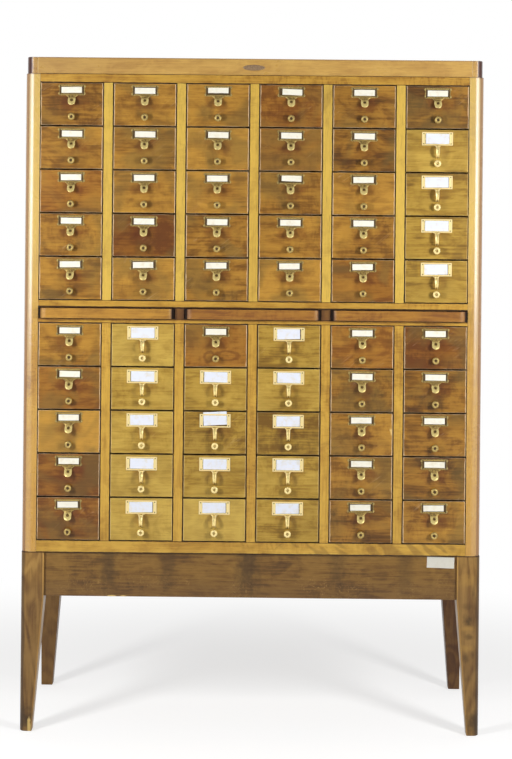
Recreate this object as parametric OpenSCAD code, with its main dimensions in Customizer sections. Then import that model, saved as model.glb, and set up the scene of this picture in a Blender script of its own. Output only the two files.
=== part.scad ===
// Card catalogue cabinet: ten rows of six card drawers in two blocks, three pull-out
// shelves between the blocks, on a stand with four tapered legs.
// The front looks along -Y. Rows are counted from the top, columns from the left.

/* [Case] */
// Clear width of one drawer opening
opening_w = 146; // [138:1:170]
// Thickness of an upright divider between two columns
divider_t = 22; // [14:1:30]
// Height from one row of drawers to the next
row_pitch = 100; // [92:1:120]
// Thickness of the case's sides
side_t = 34; // [26:1:44]
// Depth of the case from its front to its back
case_d = 432; // [400:1:520]
// Thickness of the back panel
back_t = 9; // [5:1:16]
// Thickness of the board under the top
top_rail_t = 20; // [12:1:30]
// Thickness of the board that the upper drawers stand on
upper_deck_t = 17; // [10:1:30]
// Thickness of the board that the shelves slide on
lower_deck_t = 10; // [8:1:20]
// Thickness of the case's floor
floor_t = 27; // [16:1:36]
// Radius of the case's front corners
corner_r = 21; // [8:1:25]
// Depth of the solid stile at each front corner
stile_d = 48; // [36:1:70]

/* [Top] */
// Thickness of the top
cap_t = 38; // [18:1:50]
// How far the top lies inside the case's outline
cap_inset = 3; // [0:0.5:6]
// Width of the lipping along each end of the top
cap_lip_w = 24; // [20:1:40]
// Radius of the top's front corners
cap_corner_r = 16; // [4:1:19]

/* [Stand] */
// Height of the stand
stand_h = 412; // [260:1:600]
// Width of a leg at its top
leg_top = 53; // [44:1:70]
// Width of a leg at the floor
leg_foot = 28; // [20:1:40]
// Radius of a leg's outer corner
leg_corner_r = 14; // [4:1:18]
// Height of the rails between the legs
rail_h = 102; // [60:1:140]
// Thickness of the rails between the legs
rail_t = 20; // [14:1:26]
// How far a rail lies behind the faces of its legs
rail_inset = 7; // [2:0.5:14]
// Length of a corner block along each rail
block_l = 56; // [30:1:90]
// Height of a corner block
block_h = 40; // [20:1:56]

/* [Drawer box] */
// Thickness of a drawer's front
front_t = 19; // [12:1:26]
// Gap around a drawer's front, measured on each side
front_gap = 1.5; // [0.8:0.1:3]
// Worn edge around a drawer's face
arris = 0.8; // [0.3:0.1:2]
// How far a drawer's face lies behind the case's front
front_set = 1; // [0:0.5:4]
// Room between a closed drawer and the back panel
drawer_room = 22; // [4:1:90]
// Thickness of a drawer's side
box_side_t = 6.5; // [5:0.5:9]
// Room between a drawer's side and its opening
box_clear = 1.5; // [1:0.1:4]
// Height of a drawer's side
box_side_h = 66; // [50:1:74]
// Thickness of a drawer's back
box_back_t = 10; // [6:1:16]
// Height of a drawer's back
box_back_h = 60; // [44:1:66]
// Thickness of a drawer's bottom
box_bottom_t = 6; // [4:0.5:8]
// Height of a drawer's box above the lower edge of its front
box_lift = 8; // [6:0.5:10]
// Width of a runner under a drawer's side
runner_w = 14; // [9:1:20]
// Radius at the rear top corner of a drawer's side
side_corner_r = 18; // [4:1:40]

/* [Rod and follower] */
// Diameter of the rod that holds the cards
rod_d = 8; // [5:0.5:9]
// Height of the rod's centre above the lower edge of the front
rod_z = 19.5; // [19.5:0.5:24]
// Diameter of the knob
knob_d = 17; // [12:0.5:20]
// Thickness of the knob's head
knob_t = 8; // [5:0.5:12]
// Length of the neck between the front and the knob's head
neck_l = 6; // [3:0.5:10]
// Depth of the dish in the knob's head
dish_h = 1.6; // [0.5:0.1:2.5]
// Length of the follower's foot
follower_l = 40; // [28:1:60]
// Thickness of the follower at its top
follower_top_t = 14; // [8:1:24]
// Height of the follower
follower_h = 58; // [40:1:64]
// Distance from the drawer's back to the follower
follower_rest = 12; // [2:1:40]

/* [Cast label pull] */
// Width of the older label frame
cast_w = 58; // [50:0.5:70]
// Height of the older label frame
cast_h = 24; // [20:0.5:28]
// Thickness of the older label frame
cast_t = 1.8; // [1:0.1:3]
// Distance from the front's top edge to the older frame
cast_drop = 4; // [2:0.5:6]
// Width of the older frame's side bars
cast_bar = 4; // [3:0.5:6]
// Width of the older frame's upper and lower bars
cast_rail = 3; // [2:0.5:4]
// Radius of the ears that hold the older frame's pins
ear_r = 3.4; // [2.5:0.1:4.5]
// Width of the cast pull where it leaves the frame
bell_top_w = 27; // [22:0.5:36]
// Width of the cast pull's tongue
bell_w = 17; // [13:0.5:21]
// Length of the cast pull below the frame
bell_l = 26; // [22:0.5:32]
// How far the cast pull stands out from the front
bell_reach = 20; // [12:0.5:24]
// Thickness of the cast pull
bell_t = 3.6; // [2.6:0.1:5]
// Width of the cast pull's raised rim
bell_rim = 2.4; // [1.5:0.1:3]

/* [Strap label pull] */
// Width of the newer label frame
strap_frame_w = 71; // [60:0.5:80]
// Height of the newer label frame
strap_frame_h = 31; // [26:0.5:34]
// Thickness of the newer label frame
strap_frame_t = 1.6; // [1:0.1:3]
// Distance from the front's top edge to the newer frame
strap_drop = 5; // [3:0.5:7]
// Width of the newer frame's side bars
strap_bar = 8; // [5:0.5:10]
// Width of the newer frame's upper and lower bars
strap_rail = 3.4; // [2:0.1:5]
// Width of the strap
strap_w = 10; // [7:0.5:14]
// Width of the strap where it leaves the frame
strap_top_w = 20; // [15:0.5:26]
// Length of the strap below the frame
strap_l = 29; // [24:0.5:31]
// How far the strap stands out from the front
strap_reach = 17; // [12:0.5:22]
// Thickness of the strap
strap_t = 2.4; // [1.6:0.1:3.2]

/* [Shelves] */
// Height of the slot that the shelves slide in
shelf_slot_h = 25; // [20:1:34]
// Thickness of a shelf's board
shelf_t = 16; // [10:1:18]
// Room between a closed shelf and the back panel
shelf_room = 28; // [4:1:90]
// How far a shelf's front bar stands out from the case
bar_proud = 16; // [6:1:18]
// Depth of a shelf's front bar
bar_d = 26; // [20:1:32]
// Radius of a front bar's ends
bar_r = 14; // [4:1:18]
// Room around a front bar, measured on each side
bar_gap = 1; // [0.5:0.1:2]

/* [Hidden] */
columns = 6;
bays = 3;
upper_rows = 5;
lower_rows = 5;
loose_rows = 7;
// The drawer whose rod and follower are pieces of their own
worked = [5, 1];
// Gap of a glued or screwed seat inside one sub-part
seat = 0.1;
// Gap under and around what slides
slide_gap = 0.3;
arc_steps = 10;

rows = upper_rows + lower_rows;
column_pitch = opening_w + divider_t;
inside_w = columns * opening_w + (columns - 1) * divider_t;
case_w = inside_w + 2 * side_t;
bay_columns = columns / bays;
bay_w = bay_columns * opening_w + (bay_columns - 1) * divider_t;
bay_pitch = bay_w + divider_t;

// Levels, from the floor up
floor_z = stand_h + floor_t;
lower_deck_z = floor_z + lower_rows * row_pitch;
slot_z = lower_deck_z + lower_deck_t;
upper_deck_z = slot_z + shelf_slot_h;
upper_z = upper_deck_z + upper_deck_t;
top_rail_z = upper_z + upper_rows * row_pitch;
cap_z = top_rail_z + top_rail_t;

// The origin is under the middle of the whole outline, pulls included
front_most = max(bell_reach, strap_reach, neck_l + knob_t, bar_proud + front_set);
case_front = (front_most - front_set - case_d) / 2;
case_back = case_front + case_d;
board_d = case_d - back_t;
face_y = case_front + front_set;

// Drawer
drawer_l = case_d - front_set - back_t - drawer_room;
front_w = opening_w - 2 * front_gap;
front_h = row_pitch - 2 * front_gap;
box_w = opening_w - 2 * box_clear;
box_inner_w = box_w - 2 * box_side_t;
box_l = drawer_l - front_t - seat;
floor_top = box_lift + box_bottom_t;
back_y = drawer_l - box_back_t;
follower_y = back_y - follower_rest - follower_l;
runner_y = face_y + front_t + slide_gap;
runner_h = front_gap + box_lift - slide_gap;

// Shelf
bar_behind = bar_d - bar_proud;
shelf_l = case_d - back_t - shelf_room - bar_behind - seat;

wood_case = "#c9a24a";
wood_cap = "#b08545";
wood_rail = "#7a5a2e";
wood_old = "#86602c";
wood_new = "#b2944a";
wood_box = "#d2b070";
brass = "#c8b45e";

function corner(cx, cy, r, from) =
    [for (i = [0:arc_steps]) let (a = from + 90 * i / arc_steps) [cx + r * cos(a), cy + r * sin(a)]];
function column_x(c) = (c - (columns + 1) / 2) * column_pitch;
function bay_x(b) = (b - (bays + 1) / 2) * bay_pitch;
function row_z(r) = r <= upper_rows
    ? upper_z + (upper_rows - r) * row_pitch
    : floor_z + (rows - r) * row_pitch;
// The newer drawers: four in the last column, the rest in the lower block's middle
function is_newer(r, c) =
    c == 6 ? r >= 2 && r <= 5 : c == 2 || c == 4 ? r >= 6 : c == 3 ? r >= 7 : false;
function drawer_name(r, c) = str("drawer_r", r, "c", c);
function row_name(r) = str("drawers_row_", r);
function is_worked(r, c) = r == worked[0] && c == worked[1];

shelf_names = ["shelf_left", "shelf_middle", "shelf_right"];
rod_name = str("rod_r", worked[0], "c", worked[1]);
follower_name = str("follower_r", worked[0], "c", worked[1]);

// A profile drawn in Y and Z, drawn out along X
module along_x(l) {
    rotate([90, 0, 90]) linear_extrude(l) children();
}

// A profile drawn in X and Z, drawn out along Y
module along_y(l) {
    translate([0, l, 0]) rotate([90, 0, 0]) linear_extrude(l) children();
}

// A board from its front left lower corner
module board(x, y, z, w, d, h) {
    translate([x, y, z]) cube([w, d, h]);
}

module top_cap() {
    w = case_w - 2 * cap_inset;
    d = case_d - cap_inset;
    core_w = w - 2 * cap_lip_w - 2 * seat;
    color(wood_cap) {
        board(-core_w / 2, case_front + cap_inset, cap_z, core_w, d, cap_t);
        for (side = [0, 1]) mirror([side, 0, 0])
            translate([-w / 2, case_front + cap_inset, cap_z]) linear_extrude(cap_t)
                polygon(concat(
                    corner(cap_corner_r, cap_corner_r, cap_corner_r, 180),
                    [[cap_lip_w, 0], [cap_lip_w, d], [0, d]]
                ));
    }
}

module case_boards() {
    color(wood_case) {
        board(-inside_w / 2, case_front, stand_h, inside_w, board_d, floor_t);
        board(-inside_w / 2, case_front, lower_deck_z, inside_w, board_d, lower_deck_t);
        board(-inside_w / 2, case_front, upper_deck_z, inside_w, board_d, upper_deck_t);
        board(-inside_w / 2, case_front, top_rail_z, inside_w, board_d, top_rail_t);
    }
}

// The left side: a stile with a round corner, and the panel behind it
module case_side() {
    h = cap_z - stand_h;
    color(wood_case) translate([-case_w / 2, case_front, stand_h]) {
        linear_extrude(h) polygon(concat(
            corner(corner_r, corner_r, corner_r, 180),
            [[side_t, 0], [side_t, stile_d], [0, stile_d]]
        ));
        board(0, stile_d + seat, 0, side_t, case_d - stile_d - seat, h);
    }
}

module back_panel() {
    color(wood_case)
        board(-inside_w / 2, case_back - back_t, stand_h, inside_w, back_t, cap_z - stand_h);
}

module column_dividers() {
    color(wood_case) {
        for (c = [1:columns - 1]) {
            x = column_x(c) + opening_w / 2;
            board(x, case_front, floor_z, divider_t, board_d, lower_rows * row_pitch);
            board(x, case_front, upper_z, divider_t, board_d, upper_rows * row_pitch);
        }
        for (b = [1:bays - 1])
            board(bay_x(b) + bay_w / 2, case_front, slot_z, divider_t, board_d, shelf_slot_h);
    }
}

// Two runners for each drawer. Their front ends stop its front.
module drawer_runners() {
    color(wood_box) for (r = [1:rows]) for (c = [1:columns]) for (side = [-1, 1])
        board(
            column_x(c) + side * (opening_w - runner_w) / 2 - runner_w / 2, runner_y, row_z(r),
            runner_w, case_back - back_t - runner_y, runner_h
        );
}

// The front left leg: square at the rails, tapered on its inner faces below them
module leg() {
    taper = [
        [0, 0], [leg_foot, 0], [leg_top, stand_h - rail_h], [leg_top, stand_h], [0, stand_h]
    ];
    intersection() {
        along_y(leg_top) polygon(taper);
        along_x(leg_top) polygon(taper);
        linear_extrude(stand_h) polygon(concat(
            corner(leg_corner_r, leg_corner_r, leg_corner_r, 180),
            [[leg_top, 0], [leg_top, leg_top], [0, leg_top]]
        ));
    }
}

// Puts a piece of the front left corner at all four corners of the stand
module at_corners() {
    for (right = [0, 1]) for (rear = [0, 1])
        translate([0, case_front + case_d / 2, 0]) mirror([right, 0, 0]) mirror([0, rear, 0])
            translate([-case_w / 2, -case_d / 2, 0]) children();
}

module legs() {
    color(wood_cap) at_corners() leg();
}

module stand_rails() {
    z = stand_h - rail_h;
    color(wood_rail) {
        for (y = [case_front + rail_inset, case_back - rail_inset - rail_t])
            board(-case_w / 2 + leg_top, y, z, case_w - 2 * leg_top, rail_t, rail_h);
        for (x = [-case_w / 2 + rail_inset, case_w / 2 - rail_inset - rail_t])
            board(x, case_front + leg_top, z, rail_t, case_d - 2 * leg_top, rail_h);
    }
}

module corner_blocks() {
    inner = rail_inset + rail_t;
    color(wood_box) at_corners() translate([0, 0, stand_h - block_h]) linear_extrude(block_h)
        polygon([
            [leg_top, inner], [leg_top + block_l, inner], [inner, leg_top + block_l],
            [inner, leg_top], [leg_top, leg_top]
        ]);
}

// A shelf: its board, and the bar with round ends that it is pulled out by
module shelf(b) {
    w = bay_w - 2 * bar_gap;
    color(wood_case) translate([bay_x(b) - w / 2, case_front - bar_proud, slot_z]) {
        translate([0, 0, bar_gap]) linear_extrude(shelf_slot_h - 2 * bar_gap) polygon(concat(
            corner(bar_r, bar_r, bar_r, 180), corner(w - bar_r, bar_r, bar_r, 270),
            [[w, bar_d], [0, bar_d]]
        ));
        board(0, bar_d + seat, slide_gap, w, shelf_l, shelf_t);
    }
}

// A drawer's pieces are drawn about the middle of its face's lower edge
module drawer_front(bored) {
    side = [
        [arris, 0], [front_t, 0], [front_t, front_h], [arris, front_h],
        [0, front_h - arris], [0, arris]
    ];
    plan = [
        [-front_w / 2 + arris, 0], [front_w / 2 - arris, 0], [front_w / 2, arris],
        [front_w / 2, front_t], [-front_w / 2, front_t], [-front_w / 2, arris]
    ];
    difference() {
        intersection() {
            translate([-front_w / 2, 0, 0]) along_x(front_w) polygon(side);
            linear_extrude(front_h) polygon(plan);
        }
        if (bored) rod_hole(0, front_t);
    }
}

// The room of the rod through a piece between two depths
module rod_hole(from, to) {
    translate([0, from - 1, rod_z]) rotate([-90, 0, 0])
        cylinder(d = rod_d + 2 * slide_gap, h = to - from + 2, $fn = 48);
}

module drawer_box(bored) {
    outline = concat(
        [[0, 0], [box_l, 0]],
        corner(box_l - side_corner_r, box_side_h - side_corner_r, side_corner_r, 0),
        [[0, box_side_h]]
    );
    bottom_w = box_inner_w - 2 * seat;
    for (x = [-box_w / 2, box_w / 2 - box_side_t])
        translate([x, front_t + seat, box_lift]) along_x(box_side_t) polygon(outline);
    board(
        -bottom_w / 2, front_t + seat, box_lift,
        bottom_w, back_y - front_t - 2 * seat, box_bottom_t
    );
    difference() {
        board(-bottom_w / 2, back_y, box_lift, bottom_w, box_back_t, box_back_h);
        if (bored) rod_hole(back_y, drawer_l);
    }
}

// The block that holds the cards up, with a leaning face, bored for the rod
module follower() {
    lean = follower_l - follower_top_t;
    w = box_inner_w - 2;
    z = floor_top + slide_gap;
    difference() {
        translate([-w / 2, follower_y, z]) along_x(w)
            polygon([[0, 0], [follower_l, 0], [follower_l, follower_h], [lean, follower_h], [0, 10]]);
        rod_hole(follower_y, follower_y + follower_l);
    }
}

module rod(from, to) {
    translate([0, from, rod_z]) rotate([-90, 0, 0]) cylinder(d = rod_d, h = to - from, $fn = 48);
}

// The knob: a neck, and a head with a dished face
module knob(neck_end) {
    r = knob_d / 2;
    e = knob_t / 4;
    head = neck_l + knob_t;
    translate([0, 0, rod_z]) rotate([90, 0, 0]) rotate_extrude($fn = 48) polygon([
        [0, neck_end], [rod_d / 2, neck_end], [rod_d / 2, neck_l], [r - e, neck_l],
        [r, neck_l + e], [r, head - e], [r - e, head], [r - 2 * e, head],
        [r - 3 * e, head - dish_h], [0, head - dish_h]
    ]);
}

// The older label frame, with four ears for its pins
module cast_frame() {
    color(brass) translate([0, -cast_t - seat, front_h - cast_drop - cast_h]) along_y(cast_t)
        difference() {
            union() {
                translate([-cast_w / 2, 0]) square([cast_w, cast_h]);
                for (x = [-1, 1] * cast_w / 2) for (z = [ear_r, cast_h - ear_r])
                    translate([x, z]) circle(ear_r, $fn = 32);
            }
            translate([-cast_w / 2 + cast_bar, cast_rail])
                square([cast_w - 2 * cast_bar, cast_h - 2 * cast_rail]);
        }
}

// Half the width of the cast pull at a share of its length
function bell_half(s) = let (
        flare = (bell_top_w - bell_w) / 2 * pow(max(0, 1 - 3.2 * s), 2),
        end = bell_w / 2 / bell_l,
        round = s > 1 - end ? sqrt(max(0, 1 - pow((s - 1 + end) / end, 2))) : 1
    ) bell_w / 2 * round + flare;
function bell_outline(inset) = let (
        n = 22,
        last = bell_l - inset,
        half = [for (i = [0:n]) let (s = 1 - pow(1 - i / n, 2)) [bell_half(s), -last * s]]
    ) concat(
        [for (p = half) [max(p[0] - inset, 0), p[1]]],
        [for (i = [n - 1:-1:0]) [-max(half[i][0] - inset, 0), half[i][1]]]
    );
// The pull's side view: it swings out from the frame and hangs down at its lip
function bell_line(s) = [
    -seat - bell_t / 2 - (bell_reach - seat - bell_t) * s * s * (3 - 2 * s), -bell_l * s
];
function bell_side(near, far) = let (
        n = 14,
        step = 0.01,
        line = [for (i = [0:n]) let (s = i / n, d = bell_line(s + step) - bell_line(s - step))
            [bell_line(s), [d[1], -d[0]] / norm(d)]]
    ) concat(
        [for (l = line) l[0] + near * l[1]],
        [for (i = [n:-1:0]) line[i][0] + far * line[i][1]]
    );

// The cast pull: a tongue that widens into the frame, dished inside a raised rim
module bell_pull() {
    top = front_h - cast_drop - cast_h - seat;
    color(brass) translate([0, 0, top]) difference() {
        intersection() {
            translate([-bell_top_w, 0, 0]) along_x(2 * bell_top_w)
                polygon(bell_side(-bell_t / 2, bell_t / 2));
            translate([0, -2 * bell_reach, 0]) along_y(2 * bell_reach) polygon(bell_outline(0));
        }
        intersection() {
            translate([-bell_top_w, 0, 0]) along_x(2 * bell_top_w)
                polygon(bell_side(bell_t / 6, 2 * bell_t));
            translate([0, -2 * bell_reach, 0]) along_y(2 * bell_reach)
                polygon(bell_outline(bell_rim));
        }
    }
}

// The newer label frame: a plain frame with wide side bars
module strap_frame() {
    color(brass) translate([0, -strap_frame_t - seat, front_h - strap_drop - strap_frame_h])
        along_y(strap_frame_t) difference() {
            translate([-strap_frame_w / 2, 0]) square([strap_frame_w, strap_frame_h]);
            translate([-strap_frame_w / 2 + strap_bar, strap_rail])
                square([strap_frame_w - 2 * strap_bar, strap_frame_h - 2 * strap_rail]);
        }
}

// The strap: half an ellipse in side view, both ends on the front
module strap_pull() {
    n = 16;
    top = front_h - strap_drop - strap_frame_h - seat;
    flare = (strap_top_w - strap_w) / 2;
    mid = strap_l / 2;
    outer = [for (i = [0:n]) let (a = 180 * i / n) [-strap_reach * sin(a), mid * cos(a) - mid]];
    inner = [for (i = [n:-1:0]) let (a = 180 * i / n)
        [-(strap_reach - strap_t) * sin(a), (mid - strap_t) * cos(a) - mid]];
    half = concat(
        [for (i = [0:6]) let (a = 15 * i)
            [strap_w / 2 + flare * (1 - sin(a)), -flare * (1 - cos(a))]],
        [[strap_w / 2, -strap_l]]
    );
    color(brass) translate([0, -seat, top]) intersection() {
        translate([-strap_top_w, 0, 0]) along_x(2 * strap_top_w) polygon(concat(outer, inner));
        translate([0, -2 * strap_reach, 0]) along_y(3 * strap_reach)
            polygon(concat(half, [for (i = [len(half) - 1:-1:0]) [-half[i][0], half[i][1]]]));
    }
}

module at_drawer(r, c) {
    translate([column_x(c), face_y, row_z(r) + front_gap]) children();
}

module drawer(r, c) {
    own_rod = !is_worked(r, c);
    newer = is_newer(r, c);
    at_drawer(r, c) {
        color(newer ? wood_new : wood_old) drawer_front(!own_rod);
        color(wood_box) drawer_box(!own_rod);
        if (own_rod) {
            color(wood_box) follower();
            color(brass) {
                rod(front_t + seat, back_y - seat);
                knob(seat);
            }
        }
        if (newer) {
            strap_frame();
            strap_pull();
        } else {
            cast_frame();
            bell_pull();
        }
    }
}

module worked_rod() {
    color(brass) at_drawer(worked[0], worked[1]) {
        rod(-neck_l, drawer_l - box_back_t / 2);
        knob(slide_gap);
    }
}

module worked_follower() {
    color(wood_box) at_drawer(worked[0], worked[1]) follower();
}

top_cap();
case_boards();
case_side();  // left_side
mirror([1, 0, 0]) case_side();  // right_side
back_panel();
column_dividers();
drawer_runners();
legs();
stand_rails();
corner_blocks();
for (b = [1:bays]) shelf(b);
for (r = [1:loose_rows]) for (c = [1:columns])
    drawer(r, c);
for (r = [loose_rows + 1:rows])
    for (c = [1:columns]) drawer(r, c);
worked_rod();
worked_follower();
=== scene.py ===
# %% [markdown]
# # Card catalogue cabinet: the looks
# The cabinet was built as plain solids. This file gives it its looks. Each wooden board gets a copy
# with worn edges and real grain, and each label frame, pull and knob is modelled again in finer detail, in the
# same place. A large cabinet is never one colour: its drawers were finished by different hands and years, so most
# of the work here is in telling boards apart.

# %% Load the model
import math

import bmesh
import bpy
import numpy as np
from mathutils import Matrix, Vector


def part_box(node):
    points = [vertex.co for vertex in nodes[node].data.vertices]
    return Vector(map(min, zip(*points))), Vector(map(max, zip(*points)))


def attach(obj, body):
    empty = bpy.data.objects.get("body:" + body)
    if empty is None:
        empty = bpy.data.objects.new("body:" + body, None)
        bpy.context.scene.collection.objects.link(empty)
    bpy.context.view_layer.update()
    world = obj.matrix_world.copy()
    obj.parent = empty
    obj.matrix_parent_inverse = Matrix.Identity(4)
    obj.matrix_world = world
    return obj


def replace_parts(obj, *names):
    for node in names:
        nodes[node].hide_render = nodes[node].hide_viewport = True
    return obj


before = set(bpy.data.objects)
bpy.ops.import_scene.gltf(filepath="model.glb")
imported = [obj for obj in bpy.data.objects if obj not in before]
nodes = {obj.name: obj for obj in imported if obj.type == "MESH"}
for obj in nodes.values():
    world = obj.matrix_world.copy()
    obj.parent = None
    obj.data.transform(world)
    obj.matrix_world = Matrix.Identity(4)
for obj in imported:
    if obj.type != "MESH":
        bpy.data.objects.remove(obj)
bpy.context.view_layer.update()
scene = bpy.context.scene

# %% [markdown]
# ## The camera
# The photograph was taken from the front, with the lens a little above the shelves. The verticals stay parallel in
# it, so the camera looks level and the picture is shifted down, as on a view camera. A tilted camera would make
# the legs lean together.

# %% Place the camera
mm = 0.001
camera_data = bpy.data.cameras.new("camera")
camera_data.sensor_width = 36
camera_data.lens = 84.48
camera_data.shift_y = -0.2196
camera_data.clip_end = 60
camera = bpy.data.objects.new("camera", camera_data)
scene.collection.objects.link(camera)
lens_place = (0.0265, -4.295, 1.190)
swing, level, roll = math.radians(0.298), math.radians(90.072), math.radians(0.5547)
turn = Matrix.Rotation(swing, 4, "Z") @ Matrix.Rotation(level, 4, "X")
camera.matrix_world = Matrix.Translation(lens_place) @ turn @ Matrix.Rotation(roll, 4, "Z")
scene.camera = camera
print("the lens is", -lens_place[1], "m before the cabinet's middle and", lens_place[2], "m high")

# %% [markdown]
# ## A bench for node trees
# Shader and geometry trees are both made of nodes that feed each other. This small helper adds a node and feeds
# its inputs with numbers or with other nodes, so that a tree reads like arithmetic. Colours are written as they
# look on a screen, from 0 to 255, and turned into light values where they are fed in.


# %% The bench
def shade(red, green, blue):
    """A colour from a screen, turned into the light values that a shader takes."""
    parts = [value / 255 for value in (red, green, blue)]
    return tuple(p / 12.92 if p <= 0.04045 else ((p + 0.055) / 1.055) ** 2.4 for p in parts) + (1.0,)


class Bench:
    """Adds nodes to one tree. An input takes a number, a colour or the output of another node."""

    def __init__(self, tree):
        self.tree = tree

    def feed(self, socket, value):
        if isinstance(value, bpy.types.NodeSocket):
            self.tree.links.new(value, socket)
        elif socket.type == "RGBA" and len(value) == 3:
            socket.default_value = shade(*value)
        else:
            socket.default_value = value

    def feed_all(self, sockets, values):
        for key, value in values.items():
            self.feed(sockets[key], value)

    def add(self, kind, feeds=None, **settings):
        made = self.tree.nodes.new(kind)
        for name, value in settings.items():
            setattr(made, name, value)
        self.feed_all(made.inputs, feeds or {})
        return made

    def use(self, group, feeds=None):
        """Places a node group and gives its outputs."""
        return self.add("ShaderNodeGroup", feeds, node_tree=group).outputs

    def calc(self, operation, *values):
        return self.add("ShaderNodeMath", dict(enumerate(values)), operation=operation).outputs[0]

    def plus(self, a, b):
        return self.calc("ADD", a, b)

    def minus(self, a, b):
        return self.calc("SUBTRACT", a, b)

    def times(self, first, *others):
        for other in others:
            first = self.calc("MULTIPLY", first, other)
        return first

    def vector(self, operation, *values, scale=None):
        feeds = dict(enumerate(values)) | ({} if scale is None else {"Scale": scale})
        made = self.add("ShaderNodeVectorMath", feeds, operation=operation)
        return made.outputs["Value" if operation in ("DOT_PRODUCT", "LENGTH") else "Vector"]

    def noise(self, where, scale, detail=3.0, roughness=0.55, distortion=0.0):
        feeds = {"Vector": where, "Scale": scale, "Detail": detail}
        return self.add("ShaderNodeTexNoise", feeds | {"Roughness": roughness, "Distortion": distortion}).outputs[0]

    def ease(self, value, low, high, start=0.0, end=1.0):
        """A soft step from start, where value is low, to end, where it is high."""
        feeds = dict(enumerate((value, low, high, start, end)))
        return self.add("ShaderNodeMapRange", feeds, interpolation_type="SMOOTHSTEP").outputs[0]

    def band(self, value, low, high, on, off, peak=1.0):
        """Rises between low and high, and falls again between on and off."""
        return self.times(self.ease(value, low, high), self.ease(value, on, off, peak, 0.0))

    def ragged(self, where, scale, detail, by):
        """A push to either side, which breaks up a border."""
        return self.ease(self.noise(where, scale, detail=detail), 0.2, 0.8, -by, by)

    def blend(self, share, a, b):
        return self.add("ShaderNodeMix", {0: share, 6: a, 7: b}, data_type="RGBA").outputs[2]

    def paint(self, colour, *coats):
        """Lays each coat, (where, tint), over the colour in turn."""
        for where, tint in coats:
            colour = self.blend(where, colour, tint)
        return colour

    def mark(self, name, kind="Fac"):
        """What the mesh says of this board under that name."""
        return self.add("ShaderNodeAttribute", attribute_name=name).outputs[kind]

    def place(self):
        return self.add("ShaderNodeTexCoord").outputs["Object"]

    def from_middle(self):
        return self.vector("SUBTRACT", self.place(), self.mark("middle", "Vector"))

    def apart(self, vector):
        """A vector's three numbers: sideways, to the back and up."""
        return self.add("ShaderNodeSeparateXYZ", {0: vector}).outputs

    def far(self, place, middle, reach):
        """How far a place is from the middle, where 1 is the reach."""
        return self.vector("LENGTH", self.vector("DIVIDE", self.vector("SUBTRACT", place, middle), reach))

    def slanted(self, place, lean, longer):
        """The place in a pattern that leans and is pulled longer."""
        feeds = {"Vector": place, "Rotation": (0.0, lean, 0.0), "Scale": (1.0, 1.0, longer)}
        return self.add("ShaderNodeMapping", feeds, vector_type="TEXTURE").outputs[0]

    def emboss(self, shader, height, strength, distance):
        raised = self.add("ShaderNodeBump", {"Height": height, "Strength": strength, "Distance": distance})
        self.feed(shader["Normal"], raised.outputs[0])

    def say(self, name):
        print(f"{name}: a tree of {len(self.tree.nodes)} nodes")


print("half way to white on a screen is a light value of", round(shade(128, 128, 128)[0], 3))

# %% Groups and finishes
SORTS = {float: "Float", int: "Int", tuple: "Vector"}


def group_of(name, inputs, outputs, kind="Shader"):
    """A node group. Each input says its default value, or else which sort of socket it is."""
    tree = bpy.data.node_groups.new(name, kind + "NodeTree")
    for label, value in inputs.items():
        sort = value if isinstance(value, str) else SORTS[type(value)]
        socket = tree.interface.new_socket(label, in_out="INPUT", socket_type="NodeSocket" + sort)
        if sort != value:
            socket.default_value = value
    result = "NodeSocketFloat" if kind == "Shader" else "NodeSocketGeometry"
    for label in outputs:
        tree.interface.new_socket(label, in_out="OUTPUT", socket_type=result)
    b = Bench(tree)
    return tree, b, b.add("NodeGroupInput").outputs, b.add("NodeGroupOutput").inputs


def new_finish(name):
    """A new material, the bench of its tree and the inputs of its shader."""
    finish = bpy.data.materials.new(name)
    finish.use_nodes = True
    return finish, Bench(finish.node_tree), finish.node_tree.nodes["Principled BSDF"].inputs


print("inputs with a default value are of these sorts:", *SORTS.values())


# %% [markdown]
# ## Grain
# Wood grain is one pattern pulled long in one direction. Each board carries its own direction of grain and its own
# seed as marks on its mesh, so one node group can serve rails, stiles and drawers, and no two boards show the same
# piece of the pattern.

# %% The grain group
grain_tree, b, given, taken = group_of(
    "grain", {"Figure scale": 13.0, "Rings": 30.0}, ("Figure", "Fibre", "Curl", "Pores", "Height")
)
place, along = b.place(), b.mark("along", "Vector")
own = b.vector("SCALE", (13.7, 7.9, 5.3), scale=b.mark("seed"))
lengthwise = b.vector("SCALE", along, scale=b.vector("DOT_PRODUCT", place, along))


def pulled(b, keep):
    """The place in the pattern, with only this share of its length along the grain."""
    return b.vector("ADD", b.vector("SUBTRACT", place, b.vector("SCALE", lengthwise, scale=1 - keep)), own)


field = b.noise(pulled(b, 0.22), given["Figure scale"], detail=2.0, distortion=0.7)
fibre = b.noise(pulled(b, 0.05), 170.0, detail=5.0, roughness=0.7)
squeezed = b.vector("ADD", b.vector("SCALE", lengthwise, scale=1.7), pulled(b, 1.0))
waves = b.ease(b.noise(squeezed, 26.0, detail=2.0, distortion=1.6), 0.42, 0.66)
in_places = b.ease(b.noise(pulled(b, 0.6), 8.0, detail=1.0), 0.44, 0.62)
pores = b.ease(b.noise(pulled(b, 0.04), 900.0, detail=1.0), 0.60, 0.72)
b.feed_all(taken, {
    "Figure": b.calc("MULTIPLY_ADD", b.calc("SINE", b.times(field, given["Rings"])), 0.5, 0.5),
    "Fibre": b.ease(fibre, 0.3, 0.7),
    "Curl": b.times(waves, in_places),
    "Pores": pores,
    "Height": b.minus(fibre, b.times(pores, 0.5)),
})
b.say("grain")
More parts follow.
